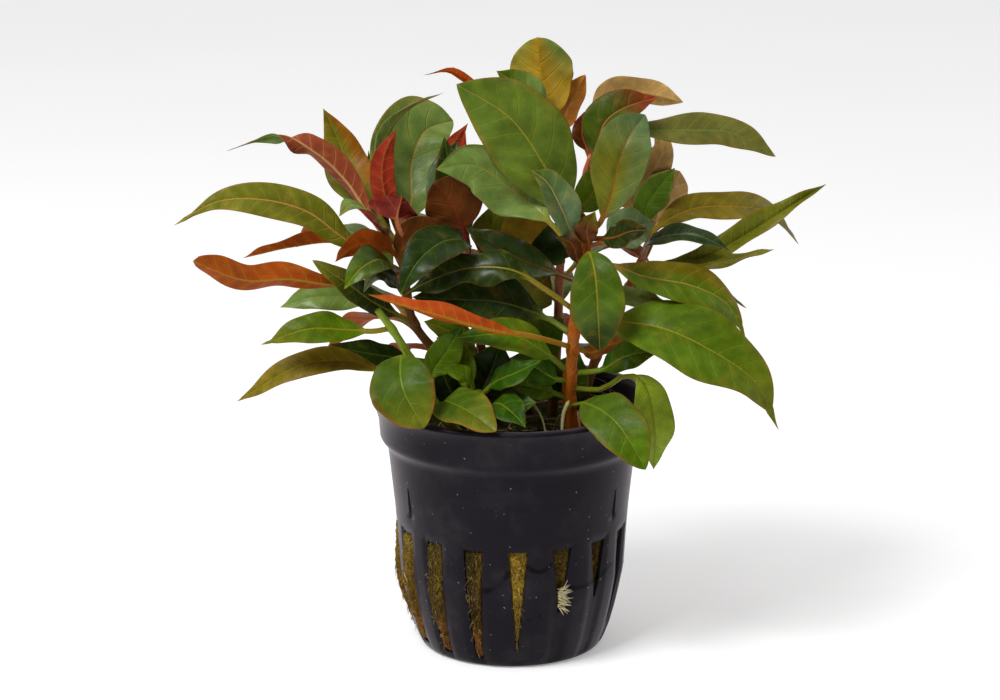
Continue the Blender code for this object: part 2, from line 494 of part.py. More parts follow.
def make_stem(name):
    """A stem with its smaller leaves joined on."""
    points = [Vector(p) for p in STEMS[name]]
    steps = 3 * (len(points) - 1)
    sections = []
    side = Vector((1, 0, 0))
    for step in range(steps + 1):
        place, heading = along(points, step / steps)
        side = (side - heading * side.dot(heading)).normalized()
        other = heading.cross(side)
        radius = stem_radius(step / steps)
        if step == 0:
            side, other = Vector((1, 0, 0)), Vector((0, 1, 0))
        turns = [math.tau * k / STEM_SIDES for k in range(STEM_SIDES)]
        sections.append([place + (side * math.cos(a) + other * math.sin(a)) * radius for a in turns])
    bm = bmesh.new()
    loft(bm, sections)
    stem = as_object(name, bm)
    finish(stem, STEM_COLOURS.get(name, STEM_COLOUR), 0.5)
    for number, (root, petiole, width, faces, path) in enumerate(SMALL_LEAVES[name], 1):
        bm = bmesh.new()
        loft(bm, leaf_sections(leaf_route(name, root, path, True), petiole, width, faces))
        boolean(stem, as_object(f"{name}_leaf_{number}", bm), "UNION")


clear_scene()
make_pot()
make_growing_medium()
for stem_name in STEMS:
    make_stem(stem_name)
for leaf_name in LEAVES:
    make_leaf(leaf_name)
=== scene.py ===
import math
import random

import bmesh
import bpy
from mathutils import Matrix, Vector, noise


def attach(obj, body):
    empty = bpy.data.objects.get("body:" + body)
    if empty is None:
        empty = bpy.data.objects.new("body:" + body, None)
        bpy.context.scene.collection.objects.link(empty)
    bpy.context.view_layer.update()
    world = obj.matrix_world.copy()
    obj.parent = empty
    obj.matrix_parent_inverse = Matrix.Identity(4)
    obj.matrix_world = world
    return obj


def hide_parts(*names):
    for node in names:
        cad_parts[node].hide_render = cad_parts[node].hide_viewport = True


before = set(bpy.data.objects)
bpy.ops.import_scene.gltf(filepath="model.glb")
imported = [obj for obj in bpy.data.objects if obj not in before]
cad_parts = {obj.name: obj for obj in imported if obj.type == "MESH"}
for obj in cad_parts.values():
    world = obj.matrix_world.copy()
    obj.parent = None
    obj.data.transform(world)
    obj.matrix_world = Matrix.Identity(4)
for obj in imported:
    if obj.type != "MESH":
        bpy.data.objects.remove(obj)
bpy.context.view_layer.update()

# Lengths are in millimetres, and those of the floor, light and camera at the end in metres.
# +Z is up and the photographed front looks along -Y.
MM = 0.001
STEM_FOOT = 45.6
STEM_RADIUS = 1.15
STEM_TIP_RADIUS = 0.75
PETIOLE_HALF_WIDTH = 0.52

# Which way a blade's upper face looks
FRONT = (0.0, -1.0, 0.3)
HALF_UP = (0.0, -0.8, 0.6)
UP_FRONT = (0.0, -0.7, 0.7)
UP = (0.0, -0.3, 0.95)
BEHIND = (0.0, 1.0, 0.3)
AWAY = (0.0, 1.0, 0.25)
UP_AWAY = (0.0, 0.75, 0.65)
UP_BACK = (0.0, 0.35, 0.9)
BACK_UP = (0.0, 0.3, 0.95)

# The points that each stem runs through, from its foot to its tip
STEMS = {
    "stem_front_right": [
        (11.5, -9, STEM_FOOT), (11, -10, 54), (11.5, -11, 61), (12, -12, 69), (13, -13, 78), (14.5, -13, 86),
    ],
    "stem_middle": [(3, 6, STEM_FOOT), (5, 8, 62), (6, 10, 80), (7.5, 12, 101)],
    "stem_back_right": [
        (8, 4, STEM_FOOT), (9, 5, 62), (9.5, 5, 76), (11, 5, 85), (14, 5, 92), (15.5, 4, 97),
    ],
    "stem_right": [(13, 0, STEM_FOOT), (16, 1, 56), (20, 2, 66), (24, 2, 74), (27, 2, 81)],
    "stem_left": [(-8, -3, STEM_FOOT), (-14.5, -4, 59), (-19, -5, 66), (-20.5, -6, 74), (-21, -6, 84)],
    "stem_centre_left": [(-3, -1, STEM_FOOT), (-6, -1, 60), (-8, -2, 72), (-9, -3, 83)],
    "shoot_left_front": [
        (-10, -9, STEM_FOOT), (-16, -10, 53), (-19.5, -13, 61), (-22.5, -14, 66.5), (-25.5, -15, 71),
    ],
    "crown_front": [(-6.5, -13, STEM_FOOT), (-6.5, -14, 50), (-6.5, -14, 55)],
}

# Each leaf by the stem it grows on: the height of its foot there, the length of its petiole, the width
# of its blade, the way its upper face looks, its paints, and the points that its midrib runs through
# after the foot, the last one its tip. The paints: upper face, its tip, under face, veins above, below.
PLAIN = "green moss copper yellow pink"
LEAVES = {
    "stem_front_right": {
        "great_upright_leaf": (83, 6, 16, (-0.1, -1, 0.35), "sage sage copper yellow pink",
            [(9.5, -10.5, 90), (6, -11, 98), (-0.5, -10, 107), (-10.5, -8, 113)]),
        "pale_left_leaf": (80.5, 9, 13, (0, -0.65, 0.75), "grey grey brown yellow pink",
            [(6.5, -12, 88), (0, -7.5, 92.5), (-7, -6.5, 97), (-14.5, -9.5, 97)]),
        "pink_vein_leaf": (82.5, 4, 8, (0.3, -1, 0.4), "blue forest rust tan pink",
            [(11, -16, 86.5), (9, -18, 91.5), (6.5, -17, 96), (3.5, -15, 98)]),
        # The blue towards the tip of upright_right_leaf is a painted bluish sheen where the leaf turns up to
        # the light
        "upright_right_leaf": (86, 4, 11, (0.1, -1, 0.3), "moss blue blue rust pink",
            [(16.5, -15.5, 88), (18.5, -15, 93), (20, -14, 99.5), (22, -12, 104), (25, -9.5, 107.5)]),
        "hanging_front_leaf": (81, 3, 10.5, (0, -1, 0.2), "forest deep copper yellow pink",
            [(14.5, -17.5, 82.5), (15.5, -21, 79), (16, -22.5, 72.5), (16.5, -21, 64.5)]),
        "pale_round_leaf": (83, 4, 9, (-0.1, -0.8, 0.6), "blue blue copper pink pink",
            [(19, -10, 83.5), (23, -8, 85.5), (27.5, -6, 86)]),
        "right_arching_leaf": (78, 6, 9.5, (0.1, -0.65, 0.75), "green green copper orange pink",
            [(18, -13.5, 79.5), (25, -13, 77), (34, -12, 75), (41, -10.5, 71), (45, -10, 63.5)]),
        "great_right_leaf": (67.5, 7, 15, (0.1, -0.7, 0.7), PLAIN,
            [(17, -14, 68.5), (28, -19, 68.5), (38, -22, 64.5), (45.5, -22.5, 59), (50.5, -21, 49)]),
        "wavy_dark_leaf": (70.5, 10, 8, UP_FRONT, "deep deep brown yellow pink",
            [(6.5, -13.5, 74.5), (0, -14, 78.5), (-8, -12.5, 78.5), (-15.5, -14, 76.5), (-20.5, -15.5, 74)]),
        "thin_red_leaf": (63, 14, 5, BEHIND, "green green red orange gold",
            [(3.5, -19, 67), (-4, -22, 69), (-13.5, -23, 72), (-27, -21, 75.5)]),
        "small_middle_leaf": (58, 5, 7, HALF_UP, "green fresh copper lime cream",
            [(6, -15, 62.8), (-0.5, -17.5, 66.8), (-11, -18, 66.3)]),
        "broad_centre_leaf": (65.5, 6, 13, (0, -0.75, 0.65), "deep deep brown lime cream",
            [(6.5, -9, 68), (-2.5, -11, 71.5), (-11, -13, 72.5), (-19, -13, 73)]),
        "rim_right_leaf": (51, 5, 10, (-0.1, -0.75, 0.65), "forest green rust lime cream",
            [(14.5, -17, 53), (19, -24, 52), (22.5, -27.5, 48), (25, -28.5, 43.5)]),
        "hanging_right_leaf": (54.5, 14, 8, (0.3, -0.95, 0.2), "lime lime olive moss cream",
            [(17, -13.5, 55), (21.5, -16, 58.5), (25, -18.5, 57.5), (27, -19.5, 49.5), (27, -18.5, 40.5)]),
        "low_bright_leaf": (56, 3, 7, HALF_UP, "fresh fresh olive lime cream",
            [(8, -13.7, 57.2), (4, -14.3, 59.7), (-0.5, -15.3, 61.7)]),
    },
    "crown_front": {
        "rim_bright_leaf": (50, 4, 7, UP_FRONT, "fresh fresh olive lime cream",
            [(-3, -20, 54), (0, -24.5, 53.5), (2.5, -27.5, 51.5)]),
    },
    "shoot_left_front": {
        "hanging_oval_leaf": (61, 4, 12.5, (0, -1, 0.25), "forest moss rust lime cream",
            [(-21, -18, 62.5), (-20.5, -24, 58), (-16.5, -26.5, 51)]),
        "left_low_leaf": (67.5, 4, 7, (-0.1, -0.7, 0.7), PLAIN,
            [(-26.5, -15.5, 67), (-31.5, -16.5, 67.5), (-38.5, -18, 68), (-47.5, -18, 65)]),
        "lowest_left_leaf": (56, 7, 6, UP_FRONT, "olive olive rose yellow pink",
            [(-26, -11.5, 58.5), (-32, -13, 60.5), (-40.5, -15, 60), (-52.5, -15, 53)]),
        "rim_olive_leaf": (48, 4, 10, (0, -0.6, 0.8), "forest moss rust lime cream",
            [(-13, -17, 53.5), (-10, -22, 54), (-6.5, -26, 53), (-3, -28.8, 51)]),
    },
    "stem_left": {
        "copper_arching_leaf": (78.5, 9, 6, (0.35, 0.9, 0.3), "grey grey maroon yellow tan",
            [(-28, -4.5, 88.5), (-32, -3, 94), (-38, -3, 99.5), (-45, -2.5, 102), (-54.5, -2, 99)]),
        "olive_upright_leaf": (80.5, 7, 9, FRONT, "moss olive copper yellow pink",
            [(-28, 0.5, 89.5), (-31.5, 5, 93.5), (-33.5, 7.5, 99), (-36.5, 7.5, 105.5)]),
        "long_left_leaf": (76.5, 8, 7.5, (-0.05, -0.8, 0.6), "moss moss copper orange pink",
            [(-32, -9, 83.5), (-39, -10, 89), (-47.5, -11, 91.5), (-56, -11, 91), (-64, -11, 86.5)]),
        "brown_edge_leaf": (76, 8, 4.5, (0, 0.4, 0.9), "rust rust copper gold gold",
            [(-33, -1, 81), (-42.5, -2, 80.5), (-52, -2, 78)]),
        "great_copper_leaf": (69.5, 8, 7, (0, 0.9, 0.45), "moss moss copper yellow yellow",
            [(-28.5, -10, 74), (-35.5, -14, 76), (-42.5, -16, 77.5), (-50.5, -17, 77.5), (-60, -17, 81)]),
        "dark_drooping_leaf": (75.5, 3, 7.5, (-0.2, -0.8, 0.6), "deep green brown yellow pink",
            [(-25, -16, 81), (-28.5, -19.5, 80), (-31.5, -21, 76.5)]),
        "red_brown_leaf": (79, 3, 6, (0, 0.9, 0.3), "deep deep copper yellow rust",
            [(-25, -10.5, 82.5), (-29.5, -13, 83), (-33.5, -13.5, 80)]),
        "grey_thin_leaf": (83, 7, 4.5, (-0.75, 0.1, 0.65), "grey rose grey ash rose",
            [(-24, -0.5, 91), (-25, 1.5, 98.5), (-21, 3, 105.5), (-13, 3, 109.5)]),
        "broad_folded_leaf": (82, 6, 14, (0.1, -0.9, 0.45), "grey grey red orange pink",
            [(-19.5, 4.5, 88), (-19.5, 9, 94), (-17, 12, 100), (-11.5, 16, 101.5)]),
        "red_crown_leaf": (82.6, 5, 9.5, (-0.2, 1, 0.2), "deep green wine yellow pink",
            [(-21, -8, 84), (-22, -7.5, 87), (-21, -5.5, 91)]),
        "grey_rimmed_leaf": (81.2, 4, 7, (0, -0.25, 1), "grey grey wine yellow pink",
            [(-27, -12.5, 88.5), (-30, -15, 91.5), (-32.5, -17, 89.5)]),
        "back_left_leaf": (73, 5, 11, BACK_UP, PLAIN, [(-27, 4, 79), (-35, 12, 81), (-43, 20, 75)]),
        "low_back_left_leaf": (61, 5, 10, BACK_UP, "green green copper yellow pink",
            [(-21, 4, 64), (-29, 13, 62), (-37, 20, 54)]),
    },
    "stem_centre_left": {
        "dark_front_leaf": (78, 5, 9, UP_FRONT, "deep deep brown green pink",
            [(-9, -9, 83), (-13.5, -15, 84), (-18, -19.5, 81), (-21, -21, 75.5)]),
        "brown_heart_leaf": (81, 4, 10.5, (0.1, 1, 0.2), "deep deep brown yellow wine",
            [(-8.5, -4, 82), (-10.5, -5.5, 87.5), (-12.5, -5, 91), (-15, -5.5, 93.5)]),
        "back_centre_left_leaf": (74, 6, 11, BACK_UP, PLAIN, [(-11, 7, 79), (-17, 18, 82), (-23, 29, 76)]),
    },
    "stem_middle": {
        "top_olive_leaf": (99, 4, 11.5, BEHIND, "grey grey gold yellow gold",
            [(7.5, 14, 104.5), (6, 17, 109.5), (5, 19, 117.5)]),
        "top_grey_leaf": (99.5, 3, 7.5, HALF_UP, "grey green copper yellow pink",
            [(4.5, 9.5, 105.5), (1.5, 9.5, 109.5), (-3, 9.5, 112.5)]),
        "orange_pointed_leaf": (96.5, 3, 6, (-0.1, 1, 0.2), "green moss amber yellow orange",
            [(9.5, 15, 101.5), (11.5, 18, 105), (14.5, 19.5, 110)]),
        "back_middle_leaf": (84, 6, 12, (0, 0.35, 0.95), PLAIN, [(4, 19, 89), (0, 30, 90), (-4, 40, 83)]),
    },
    "stem_back_right": {
        "orange_back_leaf": (94.5, 5, 8, (0, 0.8, 0.55), "moss moss peach yellow gold",
            [(16, 10, 103), (18, 12.5, 106.5), (25, 14, 107.5), (33.5, 14, 105.5)]),
        "folded_top_leaf": (94.5, 3, 9, (0, -0.75, 0.65), "forest crimson crimson pink pink",
            [(16.5, 1.5, 100), (18, 2, 104), (21.5, 2.5, 106.5), (28, 3.5, 108.5)]),
        "far_right_leaf": (90, 14, 8, (0, -0.65, 0.75), "drab drab copper grey pink",
            [(21.5, 5.5, 101), (29, 6, 101.5), (35, 6, 101.5), (42.5, 6, 101), (51, 5, 96.5)]),
        "back_right_leaf": (82, 6, 11, (0.1, 0.35, 0.95), PLAIN,
            [(17, 13, 88), (25, 23, 90), (34, 31, 84)]),
        "low_back_leaf": (62, 6, 10, BACK_UP, "green green copper yellow pink",
            [(9, 14, 67), (7, 25, 68), (4, 35, 61)]),
    },
    "stem_right": {
        "tan_back_leaf": (80, 4, 9.5, BEHIND, "moss moss tan yellow cream",
            [(28.5, 8, 85.5), (31, 11, 88), (33, 13, 92)]),
        "drooping_right_leaf": (78.5, 7, 7.5, (0.1, -0.6, 0.8), "olive ash copper gold pink",
            [(27, -1.5, 83), (34.5, 5, 86), (43.5, 5.5, 86.5), (51, 5.5, 85), (56, 5, 79)]),
        "rising_right_leaf": (74.5, 8, 6, (-0.3, -0.8, 0.55), "moss moss copper moss pink",
            [(30, -3.5, 77.5), (37, -5, 79), (43.5, -5, 82.5), (51, -5, 87.5), (60, -4, 93)]),
        "grey_right_leaf": (76.5, 4, 5.5, (0, -0.5, 0.85), "deep deep ash ash pink",
            [(26.5, -5, 82), (31, -8, 84), (36, -10, 84), (41.5, -11, 81.5)]),
        "low_back_right_leaf": (65, 5, 11, BACK_UP, PLAIN, [(24, 9, 69), (32, 19, 69), (40, 27, 61)]),
    },
}

# The smaller leaves, each one growth with its stem, given in the same way
SMALL_LEAVES = {
    "stem_front_right": [
        (84.5, 3, 5.5, (0.1, -0.8, 0.6), "deep deep red rust pink",
         [(19, -17, 85.5), (22, -18.5, 87), (25.5, -19, 87.5)]),
        (57.5, 5, 6, HALF_UP, "fresh green olive lime cream",
         [(17, -10.5, 58), (21.5, -12, 61), (28.5, -12, 62.5)]),
        (72, 4, 5, (0, -0.6, 0.8), "grey grey copper lime cream",
         [(18, -9, 71.5), (23, -9, 72), (30, -9.5, 71)]),
        (62.5, 2, 4, AWAY, "green green rust lime gold", [(15, -8.5, 61), (18, -7.5, 62), (22, -7, 63)]),
        (52.5, 3, 5.5, HALF_UP, "green fresh olive lime cream",
         [(7, -13, 54.5), (3, -15, 56), (-1.5, -16, 57)]),
    ],
    "stem_middle": [
        (91, 5, 2.5, UP_AWAY, "copper red red copper copper",
         [(-2.5, 4.5, 105.5), (-11, 2.5, 113.5), (-17, 2, 113)]),
        (80, 3, 8, AWAY, "moss moss gold yellow gold", [(5, 7.5, 80.5), (3, 7, 83), (-1.5, 6, 86)]),
        (88, 4, 7, UP_FRONT, PLAIN, [(2.5, 6, 94), (-2, 3, 99), (-6, 1, 103)]),
        (70, 4, 7.5, UP_BACK, PLAIN, [(0, 14, 73), (-6, 22, 73), (-12, 29, 67)]),
        (58, 4, 7, UP_BACK, PLAIN, [(6, 15, 60.5), (9, 22, 60), (12, 29, 54)]),
        (62, 3, 7, UP_FRONT, PLAIN, [(3, 3, 64), (0, -1, 66), (-4, -4, 66)]),
    ],
    "stem_back_right": [
        (88, 6, 8, AWAY, "moss moss tan yellow cream",
         [(23.5, 9, 88.5), (27.5, 11, 92.5), (29.5, 12, 97), (27.5, 12.5, 100.5)]),
        (96.5, 1, 4, UP_FRONT, "brown wine brown rust rust", [(14.5, 5, 98), (13.5, 6, 101), (14, 7, 105)]),
        (84, 3, 7, FRONT, PLAIN, [(14, 1.5, 88), (17, -1, 93), (20, -3, 98)]),
        (72, 4, 7.5, UP_BACK, PLAIN, [(14, 11, 75), (21, 18, 76), (28, 24, 71)]),
        (54, 4, 7, UP_BACK, PLAIN, [(13, 9.5, 56.5), (19, 16, 56), (25, 22, 51.5)]),
    ],
    "stem_right": [
        (80, 3, 6.5, FRONT, "forest forest tan green cream",
         [(26, 3.5, 86.5), (28, 4, 90), (31.5, 4, 94.5)]),
        (73.5, 5, 4.5, UP, "moss moss rust yellow gold", [(33, 3.5, 74), (42, 4, 76), (51, 3.5, 78.5)]),
        (58, 4, 7, UP_BACK, PLAIN, [(21, 6, 61), (28, 12, 60), (35, 17, 54)]),
        (69, 4, 7, UP, PLAIN, [(29, 1, 71.5), (38, 3, 71.5), (46, 4, 66.5)]),
        (61, 3, 7, UP_FRONT, PLAIN, [(22, -3, 63.5), (27, -6, 64), (33, -8, 60)]),
    ],
    "stem_left": [
        (72, 2, 5, (-0.2, -0.8, 0.6), "deep ash brown green pink",
         [(-23.5, -13, 77), (-26, -16.5, 78.5), (-28, -17.5, 75)]),
        (66.5, 3, 6, HALF_UP, "deep moss rust yellow pink",
         [(-26.5, -11, 71.5), (-31.5, -15.5, 76.5), (-37.5, -18.5, 81.5)]),
        (83, 3, 5, AWAY, "moss moss crimson yellow rust",
         [(-24.5, -4.5, 92), (-24.5, -3.5, 98), (-22, -3, 103.5)]),
        (70.5, 5, 6.5, HALF_UP, "grey grey copper lime cream",
         [(-29, -5, 71), (-38, -7, 71.5), (-44.5, -7, 69.5)]),
        (58, 5, 6, UP_FRONT, "deep deep wine green pink",
         [(-20.5, -4, 58.5), (-27.5, -6, 60), (-35.5, -7, 62)]),
        (77, 4, 4, UP_FRONT, "deep deep copper green pink",
         [(-26, 2, 86), (-27.5, 10, 91), (-28, 11.5, 96.5)]),
        (66, 4, 7.5, UP_BACK, PLAIN, [(-24, 3, 69), (-32, 9, 70), (-40, 14, 65)]),
        (54, 4, 7, UP_BACK, PLAIN, [(-14, 3, 57.5), (-20, 9, 57.5), (-26, 16, 53)]),
    ],
    "stem_centre_left": [
        (80.5, 3, 6.5, (0, -1, 0.2), "deep deep copper green pink",
         [(-11, -2, 89), (-12, -1, 95), (-13, 0, 101.5)]),
        (79, 4, 3, AWAY, "crimson crimson crimson rust rust", [(-9, 1, 90), (-9.5, 3.5, 97), (-9, 5, 102)]),
        (64, 4, 7, UP_BACK, PLAIN, [(-8, 6, 67), (-12, 14, 67), (-17, 21, 62)]),
        (53, 4, 6.5, UP_BACK, PLAIN, [(-4, 6, 56), (-6, 13, 56), (-9, 20, 52)]),
        (57, 3, 6.5, UP_FRONT, PLAIN, [(-8, -4, 60), (-12, -4.5, 64), (-17, -4, 66)]),
    ],
    "shoot_left_front": [
        (53, 3, 6.5, (0, -1, 0.2), "green fresh olive lime cream",
         [(-15, -11.5, 58), (-12.5, -12, 62), (-9.5, -12, 67)]),
    ],
    "crown_front": [
        (53, 2, 4, UP_FRONT, "bright bright olive lime cream", [(-9, -15.5, 58), (-13, -16.5, 60)]),
        (53, 3, 6, (0, -1, 0.4), "green fresh olive lime cream",
         [(-8.5, -11.5, 57.5), (-12, -9.5, 61.5), (-14.5, -8.5, 64)]),
        (54, 3, 6, UP_FRONT, "fresh fresh olive lime cream",
         [(-3, -17, 57.5), (1, -19.5, 60), (5.5, -20, 62.5)]),
    ],
}

# The youngest leaves, which only this scene has
EXTRA_LEAVES = {
    "stem_front_right": [
        (76, 4, 7, (0, -0.9, 0.45), "deep deep brown brown wine",
         [(6.5, -9, 77.5), (1, -8, 79.5), (-4.5, -7, 82.5), (-9, -6, 85)]),
        (79, 3, 8, FRONT, "deep deep brown deep pink", [(10.5, -6, 82), (7, -4.5, 80.5), (2.5, -4, 78)]),
        (84, 2, 4.5, AWAY, "moss wine rust rust rust",
         [(13.5, -14.5, 84.5), (11.5, -15.5, 89), (9.5, -16, 91)]),
        (84.5, 2, 4.5, FRONT, "brown moss rust rust rust",
         [(14.5, -15.5, 84), (14, -16.5, 87), (15.5, -17, 90.5)]),
        (81, 2, 3.2, FRONT, "brown deep wine rust rust",
         [(12.5, -15.5, 80.5), (11, -17.5, 84.5), (8, -18.5, 86)]),
    ],
    "crown_front": [
        (49.5, 3, 8, UP_FRONT, "deep fresh olive lime cream",
         [(-1.5, -18.5, 52.5), (1.5, -20, 53.5), (4.5, -20.5, 54.5)]),
    ],
    "stem_middle": [
        (63, 4, 9, HALF_UP, "moss brown brown yellow pink", [(3.5, 5, 66.5), (4.5, 4, 70), (7.5, 4, 73.5)]),
        (57, 3, 9, FRONT, "green fresh olive lime cream", [(3.5, 0, 59.5), (6.5, -1, 62), (10, -2, 66)]),
        (75, 4, 11, AWAY, "moss moss gold yellow lime", [(4.5, 3, 78), (2.5, 2, 81), (-1, 1, 86.5)]),
    ],
    "stem_back_right": [
        (48.5, 3, 9, FRONT, "deep green olive lime cream", [(9.5, -2, 51), (11.5, -3, 55.5), (13, -4, 60)]),
    ],
    "stem_centre_left": [
        (48.5, 4, 10, FRONT, "deep green olive lime cream",
         [(-11, -7, 52), (-13.5, -8, 57), (-15.5, -9, 62.5)]),
        (48, 3, 11, FRONT, "deep fresh olive lime cream", [(-6, -5, 51.5), (-4, -6, 56.5), (-2, -6, 62.5)]),
        (75, 4, 8.5, FRONT, "moss moss brown yellow pink", [(-5, 2, 78.5), (-4, 3, 81), (-3.5, 4, 87.5)]),
        (84, 2, 5.5, AWAY, "crimson crimson crimson rust rust",
         [(-12.5, 6, 95.5), (-11, 7, 99), (-8.5, 8, 102.5)]),
        (77, 3, 9, FRONT, "blue deep brown deep pink",
         [(-12, -0.5, 91), (-12.5, 1.5, 94.5), (-10.5, 3.5, 100)]),
    ],
    "stem_left": [
        (77, 3, 9, AWAY, "deep deep brown wine rust", [(-21, -8, 81), (-17, -8, 83.5), (-12, -7, 85.5)]),
    ],
}

# How each blade departs from the plain shape: angles in degrees, waves in millimetres, the rest as
# shares. Pairs are for the left and the right half, seen from above with the tip ahead.
SHAPES = {
    "great_upright_leaf": dict(fold=5, curl=-5, rise=1.05, fall=0.95, wave=0.4),
    "pale_left_leaf": dict(fold=4, curl=-16, wave=0.7, waves=2.0, lip=(0, 60)),
    "pink_vein_leaf": dict(fold=32, curl=10, wave=0.3),
    # Its right half tinted blue is a painted sheen
    "upright_right_leaf": dict(fold=12, curl=-6, rise=1.0, fall=0.8, blush_and_sheen=(0, 0.5)),
    "hanging_front_leaf": dict(fold=12, curl=-8, rise=1.0, fall=0.95),
    "great_right_leaf": dict(fold=8, curl=-6, rise=0.8, fall=0.95, wave=0.5, tail=0.1),
    "right_arching_leaf": dict(fold=8, curl=-8, rise=0.9, fall=0.9, wave=0.4, blush_and_sheen=(0.3, 0), tail=0.08),
    "wavy_dark_leaf": dict(fold=6, curl=-10, wave=1.5, waves=2.2),
    "thin_red_leaf": dict(fold=36, curl=20),
    "grey_thin_leaf": dict(fold=40, curl=10, tail=0.12),
    "brown_edge_leaf": dict(fold=45, curl=10),
    "broad_folded_leaf": dict(fold=14, curl=14, wave=0.9, sides=(1.35, 1), fall=0.8),
    "hanging_oval_leaf": dict(fold=8, curl=-8, rise=0.8, fall=0.8, edge=0.75),
    "rim_right_leaf": dict(fold=8, curl=-8, rise=0.8, fall=0.8, edge=0.4),
    "rim_olive_leaf": dict(fold=8, curl=-7, rise=0.8, fall=0.8, edge=0.6, sides=(0.98, 0.98)),
    "rising_right_leaf": dict(fold=34, curl=-6, wave=0.5, waves=3.0),
    "drooping_right_leaf": dict(fold=12, curl=-10, wave=0.4, tail=0.08),
    "copper_arching_leaf": dict(fold=22, curl=10, wave=0.3, turn=(0.5, 0.75, 165), tail=0.12),
    "great_copper_leaf": dict(fold=12, curl=10, wave=0.5, rise=1.2, fall=0.5),
    "long_left_leaf": dict(fold=8, curl=-6, wave=0.5, waves=2.5, tail=0.06),
    "olive_upright_leaf": dict(fold=10, curl=-4, blush_and_sheen=(0, 0.6)),
    "left_low_leaf": dict(fold=10, curl=-6, tail=0.06),
    "lowest_left_leaf": dict(fold=10, curl=-6, rise=0.95, fall=1.1),
    "red_crown_leaf": dict(fold=20, curl=14, rise=0.8, fall=0.9, sides=(1.2, 1.2)),
    "brown_heart_leaf": dict(fold=10, curl=8, rise=0.7, fall=0.7, sides=(1.15, 1.15)),
    "top_olive_leaf": dict(fold=6, curl=-4, rise=0.75, fall=0.6, blush_and_sheen=(0.9, 0.5), sides=(1.1, 1.1)),
    "orange_pointed_leaf": dict(fold=8, curl=-4, rise=0.7, fall=0.8),
    "tan_back_leaf": dict(fold=6, curl=-4, rise=0.8, fall=0.7, sides=(1.3, 1.3)),
    "folded_top_leaf": dict(fold=14, curl=-6, lip=(0, 90)),
    "orange_back_leaf": dict(fold=8, curl=-4, fall=0.85),
    "far_right_leaf": dict(fold=8, curl=-6, fall=0.9),
}
# The same for small leaves, by stem and place in its list
SMALL_SHAPES = {
    ("stem_left", 1): dict(fold=8, curl=10, lip=(0, 140), rise=0.9, fall=0.9),
    ("stem_left", 3): dict(wave=0.3, lip=(0, 30)),
    ("stem_left", 4): dict(lip=(0, 120)),
    ("stem_front_right", 5): dict(edge=0.9, curl=10),
}
PLAIN_SHAPE = dict(
    fold=10, curl=-4, wave=0.35, waves=2.6, rise=1.0, fall=1.15, tail=0.0, turn=(0.0, 1.0, 0),
    lip=(0, 0), blush_and_sheen=(0, 0), sides=(1, 1), edge=0.25,
)


def paint(red, green, blue):
    """A screen colour from 0 to 255, turned into linear light."""
    def linear(value):
        value /= 255
        return value / 12.92 if value <= 0.04045 else ((value + 0.055) / 1.055) ** 2.4
    return (linear(red), linear(green), linear(blue), 1.0)


PAINTS = {word: paint(*levels) for word, levels in dict(
    deep=(32, 50, 6), green=(80, 107, 4), bright=(84, 112, 6), fresh=(40, 76, 2), olive=(112, 98, 20),
    moss=(101, 103, 20), grey=(102, 126, 56), ash=(104, 108, 82), blue=(84, 110, 66), copper=(150, 66, 8),
    red=(160, 62, 16), wine=(112, 32, 24), orange=(190, 136, 66), tan=(186, 148, 90), brown=(82, 42, 8),
    rust=(140, 78, 26), gold=(148, 118, 26), pink=(178, 108, 62), cream=(180, 170, 92),
    lime=(116, 136, 30), rose=(168, 80, 52), yellow=(146, 132, 36), forest=(66, 90, 14),
    peach=(214, 172, 104), sage=(84, 104, 28), amber=(216, 136, 54), crimson=(136, 40, 22),
    maroon=(132, 58, 34), drab=(98, 96, 36),
).items()}


def along(points, share):
    """The point at this share of a smooth curve through the points, and its direction."""
    spans = [(b - a).length for a, b in zip(points, points[1:])]
    distance = share * sum(spans)
    index = 0
    while index < len(spans) - 1 and distance > spans[index]:
        distance -= spans[index]
        index += 1
    t = distance / spans[index]
    start, end = points[index], points[index + 1]
    before = points[index - 1] if index else start * 2 - end
    after = points[index + 2] if index + 2 < len(points) else end * 2 - start
    leave = (end - before) * (spans[index] / ((end - start).length + (start - before).length))
    arrive = (after - start) * (spans[index] / ((after - end).length + (end - start).length))
    place = (start * (2 * t**3 - 3 * t**2 + 1) + leave * (t**3 - 2 * t**2 + t)
             + end * (3 * t**2 - 2 * t**3) + arrive * (t**3 - t**2))
    heading = (start * (6 * t**2 - 6 * t) + leave * (3 * t**2 - 4 * t + 1)
               + end * (6 * t - 6 * t**2) + arrive * (3 * t**2 - 2 * t))
    return place, heading.normalized()


def length_of(points):
    return sum((b - a).length for a, b in zip(points, points[1:]))


def square_to(direction, heading):
    """The direction with what lies along the heading taken out."""
    return (direction - heading * direction.dot(heading)).normalized()


def clamp(value):
    return min(1.0, max(0.0, value))


def smooth(low, high, value):
    t = clamp((value - low) / (high - low))
    return t * t * (3 - 2 * t)


def mix(a, b, share):
    return tuple(x + (y - x) * share for x, y in zip(a, b))


def upwards(height):
    return Vector((0, 0, height))


def stem_radius(share):
    return STEM_RADIUS + (STEM_TIP_RADIUS - STEM_RADIUS) * share


def stem_at(name, height):
    points = [Vector(p) for p in STEMS[name]]
    low, high = 0.0, 1.0
    for _ in range(30):
        share = (low + high) / 2
        place, heading = along(points, share)
        if place.z < height:
            low = share
        else:
            high = share
    return place, heading, stem_radius(share)


def leaf_route(stem, root, path):
    """The points that a leaf's midrib follows, from just inside its stem's skin to its tip."""
    middle, heading, radius = stem_at(stem, root)
    outwards = square_to(Vector(path[0]) - middle, heading)
    return [middle + outwards * (radius * 0.7), *(Vector(p) for p in path)]


